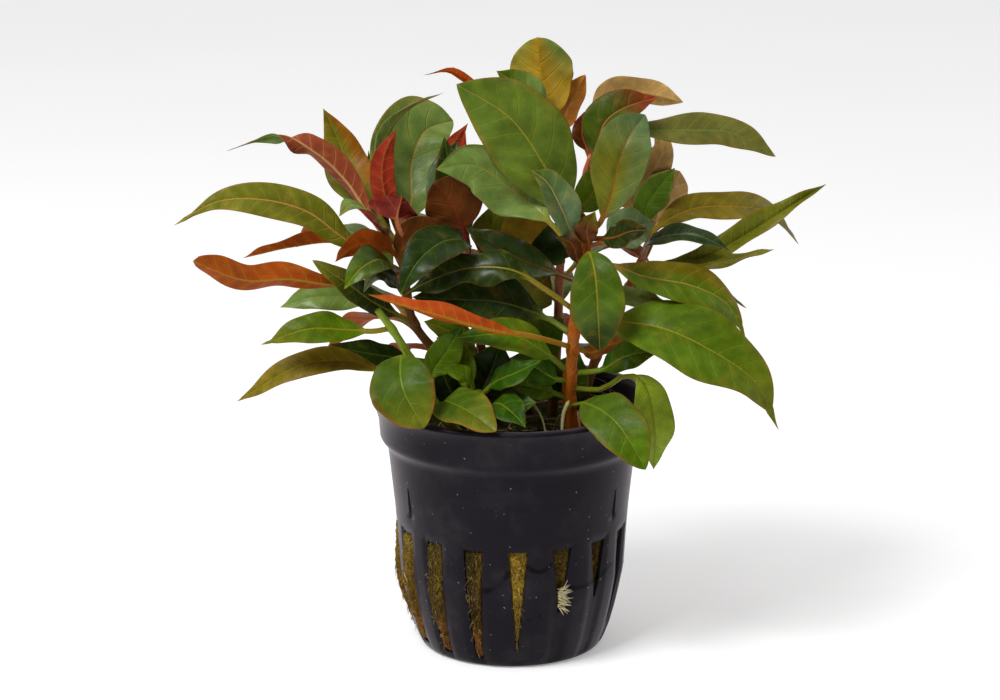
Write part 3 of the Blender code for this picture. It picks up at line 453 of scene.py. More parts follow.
def grid(bm, rows, columns):
    """A sheet of faces as verts[row][column], to be laid along a leaf, stem or wall."""
    made = bmesh.ops.create_grid(bm, x_segments=rows - 1, y_segments=columns - 1, size=1.0)["verts"]
    sheet = [[None] * columns for _ in range(rows)]
    for vert in made:
        row = round((vert.co.x + 1) / 2 * (rows - 1))
        column = round((vert.co.y + 1) / 2 * (columns - 1))
        sheet[row][column] = vert
    return sheet


def new_shell():
    bm = bmesh.new()
    for word in ("blade", "place"):
        bm.verts.layers.float_vector.new(word)
    for word in ("skin", "veins"):
        bm.verts.layers.float_color.new(word)
    return bm


def layers_of(bm):
    vectors, colours = bm.verts.layers.float_vector, bm.verts.layers.float_color
    return vectors["blade"], vectors["place"], colours["skin"], colours["veins"]


# Where the columns of a blade's faces stand, from the midrib out to the margin
ACROSS = (0.0, 0.04, 0.1, 0.21, 0.34, 0.48, 0.62, 0.74, 0.84, 0.92, 0.97, 1.0)
BLADE_THICKNESS = 0.28
TAIL_WIDTH = 0.1
THINNEST_REACH = 0.012
PETIOLE_ROWS = 5
# A blade's vein spacing rides in the fourth value of its veins' colour, in this unit
SPACING_UNIT = 10.0
VEIN_LEAN = 0.6
VEIN_ARC = 0.05
QUILT = 0.07
# Upper faces with these paints shine more than the others
GLOSSY = ("deep", "grey", "ash", "blue")
FULL_GLOSS, LOW_GLOSS = 1.0, 0.3


def outline(station, rise, fall, tail):
    """The blade's half width at this share of its length, as a share of its widest."""
    widest = rise / (rise + fall)
    peak = widest**rise * (1 - widest)**fall
    body = min(1.0, station / (1 - tail))
    share = body**rise * (1 - body)**fall / peak
    if tail and station > 0.5:
        share = max(share, TAIL_WIDTH * min(1.0, (1 - station) / tail))
    return share


def blade_frames(route, shares, faces, middle):
    """The places along the route, each with the route's heading and the way the upper face looks."""
    frames = [along(route, share) for share in shares]
    normals = [None] * len(frames)
    for order in (range(middle, len(frames)), range(middle, -1, -1)):
        facing = Vector(faces)
        for index in order:
            facing = square_to(facing, frames[index][1])
            normals[index] = facing
    return [(place, heading, normal) for (place, heading), normal in zip(frames, normals)]


def leaf_colour(look, shape, half, lower, v, inside):
    upper, tip, under = (PAINTS[word] for word in look[:3])
    if lower:
        return mix(under, upper, shape["blush_and_sheen"][half] * smooth(0.0, 0.8, v) * smooth(0.3, 0.9, inside))
    colour = mix(upper, tip, smooth(0.45, 1.0, inside))
    # One half tinted towards the under paint: a real blush on most blades, a painted sheen on
    # upright_right_leaf
    colour = mix(colour, under, shape["blush_and_sheen"][half] * smooth(0.1, 0.6, v))
    return mix(colour, under, shape["edge"] * smooth(0.75, 1.0, v) * smooth(0.1, 0.9, inside))


def ripple_at(shape, v, inside, phase):
    """How far a wavy margin stands off the blade's own bend."""
    ripple = math.sin(math.tau * shape["waves"] * inside + phase)
    return ripple * (shape["wave"] * v**2.2 * smooth(0.02, 0.3, inside) * (1 - smooth(0.85, 1.0, inside)))


def quilt_at(progress, distance, half, spacing, v, inside):
    """How far the blade swells between two side veins."""
    forward = VEIN_LEAN * distance + VEIN_ARC * distance**2
    between = (progress - forward) / spacing + 0.5 * half
    quilt = QUILT * (0.5 - 0.5 * math.cos(math.tau * between)) * smooth(0.05, 0.25, v)
    return quilt * ((1 - smooth(0.8, 1.0, v)) * smooth(0.03, 0.2, inside) * (1 - smooth(0.85, 1.0, inside)))


def skin_lifts(v, inside, distance, reach, stem_like, quilt):
    """How far the upper and the lower skin stand from the blade's middle."""
    rib = 0.42 * (1 - inside) ** 0.7 + 0.06
    thick = BLADE_THICKNESS / 2 * (1 - v**6) ** 0.5 * (1 - 0.5 * smooth(0.6, 1.0, inside))
    groove = 0.12 * math.exp(-(distance / 0.3) ** 2) * (1 - stem_like)
    ridge = rib * math.exp(-(distance / (0.3 + 0.15 * (1 - inside))) ** 2) * min(1.0, reach)
    round_edge = math.sqrt(max(0.0, 1 - v * v))
    above = (1 - stem_like) * (thick - groove + quilt) + stem_like * 0.3 * round_edge
    below = (1 - stem_like) * (thick + ridge - quilt) + stem_like * 0.66 * round_edge
    return above, below


def add_leaf(bm, stem, leaf, shape, steps, seed):
    """Lays a closed blade with its petiole and midrib along the leaf's route."""
    root, petiole, width, faces, look, path = leaf
    look = look.split()
    layers = layers_of(bm)
    rng = random.Random(seed)
    shape = {**PLAIN_SHAPE, **shape}
    tone = 1.0 + (rng.random() - 0.5) * 0.16
    route = leaf_route(stem, root, path)
    length = length_of(route)
    blade = length - petiole
    stations = [-petiole / blade * (1 - k / PETIOLE_ROWS) for k in range(PETIOLE_ROWS)]
    stations += [(k / steps) ** 0.92 for k in range(steps + 1)]
    middle = min(range(len(stations)), key=lambda k: abs(stations[k] - 0.48))
    frames = blade_frames(route, [min(1.0, (petiole + s * blade) / length) for s in stations], faces, middle)
    phase = [rng.random() * math.tau, rng.random() * math.tau]
    drift = rng.random() * 50
    gloss = FULL_GLOSS if look[0] in GLOSSY else LOW_GLOSS
    spacing = 1.5 + 0.19 * width
    fold, curl = math.radians(shape["fold"]), math.radians(shape["curl"])
    turn_start, turn_end, turn = shape["turn"]
    columns = len(ACROSS) - 1
    sheet = grid(bm, len(stations), 4 * columns + 1)
    for row, (station, (place, heading, normal)) in enumerate(zip(stations, frames)):
        inside = clamp(station)
        turned = math.radians(turn) * smooth(turn_start, turn_end, inside)
        normal = Matrix.Rotation(turned, 3, heading) @ normal
        side = heading.cross(normal)
        share = outline(inside, shape["rise"], shape["fall"], shape["tail"])
        stalk = PETIOLE_HALF_WIDTH * (1 - 0.55 * smooth(0, 0.5, inside)) * (1 - smooth(0.55, 1.0, inside))
        stem_like = 1 - smooth(-0.02, 0.12, station)
        blunt = 1.0 if station < 0.97 else max(0.05, (1 - station) / 0.03)
        for half, sign in ((0, -1), (1, 1)):
            margin = 1 + 0.07 * noise.noise(Vector((inside * 5, drift, half * 9)))
            reach = max(width / 2 * share * margin * shape["sides"][half], stalk, THINNEST_REACH)
            lip = math.radians(shape["lip"][half]) * smooth(0.15, 0.4, inside)
            offset_x, offset_n, last = 0.0, 0.0, 0.0
            for index, v in enumerate(ACROSS):
                halfway = (v + last) / 2
                bend = curl * halfway**2 * smooth(0.0, 0.3, station) + lip * smooth(0.72, 1.0, halfway)
                tilt = fold * smooth(-0.05, 0.25, station) + bend
                offset_x += (v - last) * reach * math.cos(tilt)
                offset_n += (v - last) * reach * math.sin(tilt)
                last = v
                distance = v * reach
                ripple = ripple_at(shape, v, inside, phase[half])
                quilt = quilt_at(station * blade, distance, half, spacing, v, inside)
                above, below = skin_lifts(v, inside, distance, reach, stem_like, quilt)
                tilt *= smooth(0.0, 0.1, v)
                outward = normal * math.cos(tilt) - side * (sign * math.sin(tilt))
                middle_point = place + side * (sign * offset_x) + normal * (offset_n + ripple)
                for lower, lift in ((0, above), (1, -below)):
                    if (lower and v == 1.0) or (half and v == 0.0):
                        continue
                    column = (3 if lower else 1) * columns + (-sign if lower else sign) * index
                    vert = sheet[row][column]
                    vert.co = middle_point + outward * (lift * blunt)
                    colour = leaf_colour(look, shape, half, lower, v, inside)
                    veins = PAINTS[look[4] if lower else look[3]]
                    values = ((station * blade, sign * distance, lower), (v, inside, stem_like),
                              (*(c * tone for c in colour[:3]), 0.0 if lower else gloss),
                              (*veins[:3], spacing / SPACING_UNIT))
                    for layer, value in zip(layers, values):
                        vert[layer] = value
        sheet[row][-1].co = sheet[row][0].co
        for layer in layers:
            sheet[row][-1][layer] = sheet[row][0][layer]


def close_shell(bm):
    bmesh.ops.remove_doubles(bm, verts=bm.verts, dist=0.0015)
    open_edges = [edge for edge in bm.edges if edge.is_boundary]
    bmesh.ops.holes_fill(bm, edges=open_edges, sides=0)
    bmesh.ops.recalc_face_normals(bm, faces=bm.faces)


def as_piece(name, bm, materials, nodes, sharp=None):
    bmesh.ops.scale(bm, vec=(MM, MM, MM), verts=bm.verts)
    mesh = bpy.data.meshes.new(name)
    bm.to_mesh(mesh)
    bm.free()
    for material in materials:
        mesh.materials.append(material)
    obj = bpy.data.objects.new(name, mesh)
    bpy.context.scene.collection.objects.link(obj)
    mesh.shade_smooth()
    if sharp:
        mesh.set_sharp_from_angle(angle=math.radians(sharp))
    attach(obj, "root")
    if nodes:
        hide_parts(*nodes)


class Web:
    """A short way to lay down and join a material's nodes."""

    def __init__(self, tree):
        self.tree = tree

    def feed(self, node, inputs):
        """Sets the node's inputs, or joins them to the outputs that are given."""
        for key, value in inputs.items():
            if isinstance(value, bpy.types.NodeSocket):
                self.tree.links.new(value, node.inputs[key])
            else:
                node.inputs[key].default_value = value

    def node(self, kind, inputs, **settings):
        """Lays down a node and gives its outputs."""
        made = self.tree.nodes.new("ShaderNode" + kind)
        for name, value in settings.items():
            setattr(made, name, value)
        self.feed(made, inputs)
        return made.outputs

    def spot(self):
        return self.node("TexCoord", {})["Object"]

    def attribute(self, name):
        return self.node("Attribute", {}, attribute_name=name)

    def parts(self, vector):
        return self.node("SeparateXYZ", {0: vector})

    def maths(self, operation, *values, clamp=False):
        return self.node("Math", dict(enumerate(values)), operation=operation, use_clamp=clamp)[0]

    def times(self, a, b, **settings):
        return self.maths("MULTIPLY", a, b, **settings)

    def plus(self, a, b, **settings):
        return self.maths("ADD", a, b, **settings)

    def minus(self, a, b):
        return self.maths("SUBTRACT", a, b)

    def scaled(self, value, factor, start):
        return self.maths("MULTIPLY_ADD", value, factor, start)

    def vector(self, operation, *values):
        return self.node("VectorMath", dict(enumerate(values)), operation=operation)

    def step(self, value, low, high, to_low=0.0, to_high=1.0):
        inputs = {"Value": value, "From Min": low, "From Max": high, "To Min": to_low, "To Max": to_high}
        return self.node("MapRange", inputs, interpolation_type="SMOOTHSTEP")["Result"]

    def blend(self, share, a, b, how="MIX"):
        return self.node("Mix", {0: share, 6: a, 7: b}, data_type="RGBA", blend_type=how)[2]

    def tint(self, colour, level):
        """The colour made lighter or darker by a number."""
        grey = self.node("CombineColor", {0: level, 1: level, 2: level})[0]
        return self.blend(1.0, colour, grey, "MULTIPLY")

    def noise(self, vector, scale, detail=3.0, roughness=0.55, output="Fac"):
        inputs = {"Vector": vector, "Scale": scale, "Detail": detail, "Roughness": roughness}
        return self.node("TexNoise", inputs)[output]

    def astray(self, spot, scale, detail, reach):
        """The spot moved by up to the reach, so that what is drawn there runs unevenly."""
        stray = self.noise(spot, scale, detail, 0.5, "Color")
        return self.vector("MULTIPLY_ADD", stray, (reach, reach, reach), spot)[0]

    def stretched(self, vector, scale):
        return self.node("Mapping", {"Vector": vector, "Scale": scale})[0]

    def bump(self, height, strength, distance):
        return self.node("Bump", {"Height": height, "Strength": strength, "Distance": distance})[0]


def make_group(name, inputs, build):
    """A shader group with these inputs; build gives its outputs by name."""
    tree = bpy.data.node_groups.new(name, "ShaderNodeTree")
    for word, kind in inputs.items():
        tree.interface.new_socket(word, in_out="INPUT", socket_type="NodeSocket" + kind)
    web = Web(tree)
    results = build(web, tree.nodes.new("NodeGroupInput").outputs)
    for word, socket in results.items():
        kind = "Color" if socket.type == "RGBA" else "Float"
        tree.interface.new_socket(word, in_out="OUTPUT", socket_type="NodeSocket" + kind)
    web.feed(tree.nodes.new("NodeGroupOutput"), results)
    return tree


def make_material(name, build):
    """A material; build gives its shader's inputs by name."""
    material = bpy.data.materials.new(name)
    material.use_nodes = True
    web = Web(material.node_tree)
    web.feed(material.node_tree.nodes["Principled BSDF"], build(web))
    return material


def leaf_veins(web, given):
    """Midrib, side veins and the fine net between them, from a leaf's own measures."""
    far = web.maths("ABSOLUTE", given["Across"])
    where = web.node("CombineXYZ", {"X": given["Along"], "Y": given["Across"]})[0]
    wobble = web.times(web.minus(web.noise(where, 0.12, 2.0), 0.5), 0.3)
    forward = web.scaled(far, VEIN_LEAN, web.times(web.times(far, far), VEIN_ARC))
    phase = web.maths("DIVIDE", web.minus(given["Along"], forward), given["Spacing"])
    other = web.times(web.maths("GREATER_THAN", given["Across"], 0.0), 0.5)
    phase = web.plus(web.plus(phase, other), wobble)
    line = web.maths("ABSOLUTE", web.minus(web.maths("FRACT", web.plus(phase, 0.5)), 0.5))
    apart = web.times(line, given["Spacing"])
    fade = web.times(web.step(given["Edge"], 0.98, 0.6), web.step(given["Station"], 0.98, 0.8))
    side = web.times(web.step(apart, 0.26, 0.0), fade)
    half = web.scaled(given["Station"], -0.18, 0.2)
    cells = web.node("TexVoronoi", {"Vector": where, "Scale": 1.15}, feature="DISTANCE_TO_EDGE")
    net = web.step(cells["Distance"], 0.07, 0.0)
    relief = web.plus(web.times(side, -0.7), web.times(net, -0.22))
    return {
        "Rib": web.step(web.minus(far, half), 0.12, -0.08), "Side": side, "Net": net,
        "Between": web.step(line, 0.0, 0.5),
        "Relief": web.plus(relief, web.times(web.noise(where, 4.0, 2.0), 0.12)),
    }


def leaf_tissue(web):
    blade = web.parts(web.attribute("blade")["Vector"])
    place = web.parts(web.attribute("place")["Vector"])
    skin = web.attribute("skin")
    vein_paint = web.attribute("veins")
    vein_colour = vein_paint["Color"]
    spot = web.spot()
    measures = {"Along": blade[0], "Across": blade[1], "Station": place[1], "Edge": place[0],
                "Spacing": web.times(vein_paint["Alpha"], SPACING_UNIT)}
    veins = web.node("Group", measures, node_tree=VEINS)
    cloud = web.noise(spot, 130.0, 4.0, 0.6)
    patch = web.noise(spot, 420.0, 3.0, 0.6)
    lit = web.times(web.scaled(cloud, 1.5, 0.24), web.scaled(patch, 0.5, 0.76))
    colour = web.tint(skin["Color"], web.times(lit, web.scaled(veins["Between"], -0.16, 1.08)))
    colour = web.blend(web.times(web.step(patch, 0.5, 0.75), 0.12), colour, vein_colour)
    rusty = web.step(web.noise(spot, 210.0, 3.0, 0.6), 0.55, 0.8, 0.0, 0.35)
    colour = web.blend(rusty, colour, RUST_PATCH)
    plain = web.minus(1.0, place[2])
    side = web.times(veins["Side"], web.times(web.scaled(blade[2], 0.12, 0.15), plain))
    net = web.times(web.times(veins["Net"], 0.04), plain)
    colour = web.blend(web.plus(side, net, clamp=True), colour, vein_colour)
    rib = web.maths("MAXIMUM", web.times(veins["Rib"], 0.75), web.times(place[2], 0.8))
    colour = web.blend(rib, colour, vein_colour)
    rim = web.times(web.step(place[0], 0.955, 0.995), plain)
    return {
        "Base Color": web.blend(web.times(rim, 0.45), colour, RUST_MARGIN),
        "Roughness": web.plus(web.scaled(patch, 0.22, 0.28), web.times(blade[2], 0.12)),
        "Coat Weight": web.times(skin["Alpha"], web.step(cloud, 0.4, 0.65, 0.06, 0.5)),
        "Coat Roughness": 0.33,
        "Normal": web.bump(veins["Relief"], 0.6, 0.00025),
        "Subsurface Weight": 0.05, "Subsurface Radius": (0.5, 0.8, 0.2), "Subsurface Scale": 0.0012,
        "Specular IOR Level": 0.07,
    }


def stem_skin(web):
    streaks = web.stretched(web.attribute("blade")["Vector"], (0.12, 1.4, 1.0))
    lines = web.noise(streaks, 1.6, 4.0, 0.6)
    cloud = web.noise(web.spot(), 260.0, 3.0, 0.6)
    colour = web.tint(web.attribute("skin")["Color"], web.scaled(lines, 2.2, -0.08))
    return {
        "Base Color": web.blend(web.step(cloud, 0.5, 0.78, 0.0, 0.35), colour, STEM_PATCH),
        "Roughness": web.scaled(cloud, 0.3, 0.28),
        "Normal": web.bump(lines, 0.5, 0.0002),
        "Specular IOR Level": 0.08,
    }


def dust(web, given):
    """Pale specks and faint haze that lie on a moulded surface."""
    spot = given["Spot"]
    moved = web.astray(spot, 2600.0, 1.0, 0.0005)
    cells = web.node("TexVoronoi", {"Vector": moved, "Scale": 800.0}, feature="F1")
    chance = web.node("SeparateColor", {0: cells["Color"]})[0]
    speck = web.times(web.step(cells["Distance"], 0.16, 0.05), web.step(chance, 0.72, 1.05))
    haze = web.step(web.noise(spot, 90.0, 4.0, 0.65), 0.45, 0.8, 0.0, 0.05)
    mask = web.times(web.plus(speck, haze), given["Amount"], clamp=True)
    return {"Colour": web.blend(mask, given["Colour"], DUST_GREY), "Mask": mask}


def smear(web, given):
    """A rubbed mark between two points of the pot's front, seen flat from there."""
    flat = web.vector("MULTIPLY", given["Spot"], (1.0, 0.0, 1.0))["Vector"]
    away = web.vector("SUBTRACT", flat, given["Start"])["Vector"]
    run_squared = web.vector("DOT_PRODUCT", given["Run"], given["Run"])["Value"]
    run_along = web.vector("DOT_PRODUCT", away, given["Run"])["Value"]
    share = web.maths("DIVIDE", run_along, run_squared, clamp=True)
    on_line = web.node("CombineXYZ", {"X": share, "Y": share, "Z": share})[0]
    off = web.vector("SUBTRACT", away, web.vector("MULTIPLY", given["Run"], on_line)["Vector"])["Vector"]
    sag = web.times(web.times(share, web.minus(1.0, share)), 0.0045)
    bowed = web.vector("ADD", off, web.node("CombineXYZ", {"Z": sag})[0])["Vector"]
    ragged = web.scaled(web.noise(given["Spot"], 700.0, 2.0), 0.9, 0.55)
    apart = web.maths("DIVIDE", web.vector("LENGTH", bowed)["Value"], given["Width"])
    front = web.maths("LESS_THAN", web.parts(given["Spot"])[1], 0.0)
    return {"Mask": web.times(web.step(web.times(apart, ragged), 1.0, 0.4), front)}


def pot_plastic(web):
    spot = web.spot()
    cloud = web.noise(spot, 46.0, 3.0, 0.5)
    turning = web.noise(web.stretched(spot, (30.0, 30.0, 900.0)), 1.0, 3.0, 0.6)
    colour = web.blend(cloud, *PLASTIC_TONES)
    colour = web.blend(web.times(turning, 0.3), colour, PLASTIC_RINGS)
    # Painted sheen: the pot's colour is lightened towards its outline, where it faces away from the camera
    painted_sheen = web.maths("POWER", web.node("LayerWeight", {"Blend": 0.5})["Facing"], 4.0)
    colour = web.blend(painted_sheen, colour, PAINTED_EDGE_SHEEN)
    for (across, up), (run, rise), width in SMEARS:
        given = {"Spot": spot, "Start": (across * MM, 0.0, up * MM), "Run": (run * MM, 0.0, rise * MM),
                 "Width": width * MM}
        colour = web.blend(web.node("Group", given, node_tree=SMEAR)["Mask"], colour, SMEAR_BLACK)
    specks = web.node("Group", {"Spot": spot, "Colour": colour, "Amount": 0.7}, node_tree=DUST)
    grain = web.plus(web.noise(spot, 1500.0, 2.0), web.times(turning, 0.6))
    return {
        "Base Color": specks["Colour"],
        "Roughness": web.plus(web.scaled(cloud, 0.15, 0.27), web.times(specks["Mask"], 0.3)),
        "Normal": web.bump(grain, 0.25, 0.0001),
        "Specular IOR Level": 0.08,
    }


def rock_wool(web):
    spot = web.spot()
    threads = web.stretched(web.astray(spot, 300.0, 2.0, 0.004), (2500.0, 2500.0, 900.0))
    fibre = web.step(web.noise(threads, 1.0, 5.0, 0.7), 0.3, 0.7)
    colour = web.blend(1.0, web.attribute("skin")["Color"], web.blend(fibre, *WOOL_TONES), "MULTIPLY")
    brown = web.step(web.noise(spot, 210.0, 4.0, 0.6), 0.52, 0.72, 0.0, 0.6)
    mossy = web.step(web.noise(spot, 330.0, 3.0), 0.62, 0.76, 0.0, 0.5)
    return {
        "Base Color": web.blend(mossy, web.blend(brown, colour, WOOL_BROWN), WOOL_MOSS),
        "Roughness": web.scaled(fibre, 0.2, 0.72),
        "Specular IOR Level": 0.1,
        "Normal": web.bump(fibre, 0.9, 0.0005),
    }


def thin_fibre(web):
    cloud = web.noise(web.spot(), 900.0, 3.0)
    tone = web.blend(cloud, *FIBRE_TONES)
    return {
        "Base Color": web.blend(1.0, web.attribute("skin")["Color"], tone, "MULTIPLY"),
        "Roughness": web.scaled(cloud, 0.3, 0.4),
        "Subsurface Weight": 0.1, "Subsurface Scale": 0.0006,
    }


# The materials' own colours and the painted sheen on the pot's edges, in linear light
RUST_PATCH, RUST_MARGIN = (0.20, 0.095, 0.012, 1.0), (0.16, 0.075, 0.02, 1.0)
STEM_PATCH = (0.30, 0.22, 0.07, 1.0)
DUST_GREY = (0.42, 0.40, 0.40, 1.0)
PLASTIC_TONES = ((0.0050, 0.0036, 0.0060, 1.0), (0.0095, 0.0072, 0.0115, 1.0))
# The second colour on the next line is a painted sheen that lightens the pot towards its outline
PLASTIC_RINGS, PAINTED_EDGE_SHEEN = (0.020, 0.014, 0.024, 1.0), (0.150, 0.118, 0.142, 1.0)
SMEAR_BLACK = (0.0, 0.0, 0.0003, 1.0)
WOOL_TONES = ((0.16, 0.13, 0.09, 1.0), (2.6, 2.5, 2.4, 1.0))
WOOL_BROWN, WOOL_MOSS = (0.10, 0.055, 0.018, 1.0), (0.06, 0.075, 0.018, 1.0)
FIBRE_TONES = ((0.7, 0.7, 0.66, 1.0), (1.35, 1.35, 1.35, 1.0))
# Smears on the pot's front: start and run as (across, up), and half width
SMEARS = (((3.2, 22.0), (4.2, 0.3), 0.7), ((-5.2, 17.2), (4.4, 3.6), 0.9), ((11.5, 16.8), (7.5, 2.2), 0.8),
          ((3.2, 11.0), (2.0, 0.8), 0.35))

VEIN_INPUTS = dict.fromkeys(("Along", "Across", "Station", "Edge", "Spacing"), "Float")
VEINS = make_group("leaf_veins", VEIN_INPUTS, leaf_veins)
DUST = make_group("dust", {"Spot": "Vector", "Colour": "Color", "Amount": "Float"}, dust)
SMEAR = make_group("smear", {"Spot": "Vector", "Start": "Vector", "Run": "Vector", "Width": "Float"}, smear)
LEAF_TISSUE = make_material("leaf_tissue", leaf_tissue)
STEM_SKIN = make_material("stem_skin", stem_skin)
POT_PLASTIC = make_material("pot_plastic", pot_plastic)
ROCK_WOOL = make_material("rock_wool", rock_wool)
FIBRE = make_material("fibre", thin_fibre)

# The pot: the height and width of each slot's foot, and its wall's height and radius from the base up
SLOT_COUNT = 16
SLOT_ANGLE = 360 / SLOT_COUNT
FIRST_SLOT = 3.0
SLOT_TOP = 25.0
SLOT_TOP_WIDTH = 4.0
LOWEST_CUT = 1.7
SLOT_ROWS = 24
SLOT_FEET = (
    (4.0, 0.4), (12.0, 0.6), (13.5, 0.5), (5.5, 0.6), (1.8, 1.6), (1.8, 2.0), (4.0, 0.6), (9.0, 0.5),
    (1.8, 1.6), (1.8, 2.2), (5.0, 0.8), (1.8, 2.0), (1.8, 2.4), (1.8, 2.4), (1.8, 2.2), (1.8, 1.5),
)
WALL_PROFILE = (
    (0.0, 17.0), (0.3, 17.7), (0.9, 18.2), (1.7, 18.6), (4.3, 19.6), (8.0, 20.6), (11.7, 21.4), (16.0, 22.2),
    (23.0, 22.6), (28.5, 23.0), (34.0, 23.6), (39.6, 24.2), (40.4, 24.35), (41.2, 24.8), (42.0, 25.5),
    (42.6, 25.8), (46.3, 26.1), (48.2, 26.7), (49.1, 27.25), (49.4, 27.45), (49.7, 27.42), (49.95, 27.2),
    (50.0, 26.9),
)
WALL_THICKNESS = 1.0
ROWS_ABOVE_SLOTS = [
    25.5, 25.9, 27.0, 28.3, 28.8, 30.0, 31.5, 33.0, 34.3, 35.0, 36.5, 38.5, 39.8, 40.4, 40.8, 41.2, 41.6,
    42.0, 42.3, 42.6, 43.2, 44.5, 46.3, 47.4, 48.2, 48.8, 49.1, 49.4, 49.6, 49.8, 49.95, 50.0,
]
# The rim's top and the upper inside as radius and height
RIM_INSIDE = (
    (26.3, 50.05), (25.8, 50.0), (25.55, 49.9), (25.4, 49.6), (25.2, 48.6), (24.95, 46.0), (24.8, 44.0),
    (24.4, 42.6), (23.6, 41.2), (23.35, 40.4), (22.9, 36.0), (22.3, 30.0),
)
# Nest marks at these angles from the front: half width and depth
NEST_MARKS = {-1.0: (0.95, 0.2), 58.0: (0.4, 0.7), 119.0: (0.4, 0.7), 179.0: (0.9, 0.3), -121.0: (0.4, 0.7),
              -58.0: (0.4, 0.7)}
NEST_MARK_FOOT, NEST_MARK_TOP = 28.3, 35.0
SECTOR_COLUMNS = 12
POT_COLUMNS = SLOT_COUNT * SECTOR_COLUMNS
CHANNEL_DEPTH = 0.25
# How wide the strip is that runs along both sides of a channel
FLANK = 0.35


def wall_radius(height):
    for (low, inner), (high, outer) in zip(WALL_PROFILE, WALL_PROFILE[1:]):
        if height <= high:
            return inner + (outer - inner) * (height - low) / (high - low)
    return WALL_PROFILE[-1][1]


def slot_half(number, height):
    foot, foot_width = SLOT_FEET[number]
    share = clamp((height - foot) / (SLOT_TOP - foot))
    return (foot_width + (SLOT_TOP_WIDTH - foot_width) * share) / 2


def channel_half(number, height):
    """Half the width of the shallow channel that each slot lies in."""
    return max(slot_half(number, height) + 0.18, 1.2 + 0.9 * clamp((height - 1.5) / 23.5))


def turned_round(radius, degrees, height):
    """A point at an angle round from the front, positive towards the right."""
    angle = math.radians(degrees)
    return Vector((radius * math.sin(angle), -radius * math.cos(angle), height))


def wall_angle(column, height):
    """Where a column of the wall's faces stands: it follows the edges of its slot and channel."""
    number, place = divmod(column, SECTOR_COLUMNS)
    number %= SLOT_COUNT
    radius = max(wall_radius(height), 5.0)
    sector = math.radians(SLOT_ANGLE) * radius
    slot, channel = slot_half(number, height), channel_half(number, height)
    between = (sector / 2 + channel + FLANK) / 2
    follow = (-sector / 2, -between, -channel - FLANK, -channel, -slot - 0.001, -slot / 3,
              slot / 3, slot + 0.001, channel, channel + FLANK, between, sector / 2)[place]
    even = (place / SECTOR_COLUMNS - 0.5 + 0.04) * sector
    share = smooth(27.0, 31.0, height) + 1 - smooth(0.0, 0.9, height)
    across = follow + (even - follow) * min(1.0, share)
    if place == 11:
        across = min(across, sector / 2 - FLANK)
    return FIRST_SLOT + number * SLOT_ANGLE + math.degrees(across / radius)


def nest_columns():
    """The columns that make each nest mark, with its angle, their shift and how far they sink."""
    marks = {}
    for degrees, (half, depth) in NEST_MARKS.items():
        def away(column):
            return (wall_angle(column, 32.0) - degrees + 180) % 360 - 180
        nearest = sorted(range(POT_COLUMNS), key=lambda c: abs(away(c)))[:4]
        nearest = sorted(nearest, key=away)
        for column, shift, sunk in zip(nearest, (-half - 0.3, -half, half, half + 0.3), (0, depth, depth, 0)):
            marks[column] = (degrees, shift, sunk)
    return marks


def open_slots(bm, sheet, first_rows):
    """Takes out the faces of both skins that lie in a slot."""
    doomed = []
    for row in [first + k for first in first_rows for k in range(SLOT_ROWS)]:
        for number in range(SLOT_COUNT):
            left = number * SECTOR_COLUMNS
            if min(sheet[row][left + 5].co.z, sheet[row + 1][left + 5].co.z) < SLOT_FEET[number][0] - 0.01:
                continue
            for column in (left + 4, left + 5, left + 6):
                corners = {sheet[row][column], sheet[row + 1][column + 1]}
                doomed += [f for f in sheet[row][column].link_faces if corners <= set(f.verts)]
    bmesh.ops.delete(bm, geom=list(set(doomed)), context="FACES")
    bmesh.ops.remove_doubles(bm, verts=bm.verts, dist=0.0008)


def line_slots(bm):
    """Joins the two skins round each slot and softens the outer edge."""
    by_slot = {}
    for edge in [edge for edge in bm.edges if edge.is_boundary]:
        middle = (edge.verts[0].co + edge.verts[1].co) / 2
        degrees = math.degrees(math.atan2(middle.x, -middle.y))
        by_slot.setdefault(round((degrees - FIRST_SLOT) / SLOT_ANGLE) % SLOT_COUNT, []).append(edge)
    corners = []
    for edges in by_slot.values():
        ends = [(edge, edge.verts[0].co) for edge in edges]
        corners += [edge for edge, end in ends if math.hypot(end.x, end.y) > wall_radius(end.z) - 0.7]
        bmesh.ops.bridge_loops(bm, edges=edges)
    bmesh.ops.recalc_face_normals(bm, faces=bm.faces)
    bmesh.ops.bevel(bm, geom=corners, offset=0.12, affect="EDGES", segments=2, profile=0.5, material=-1)


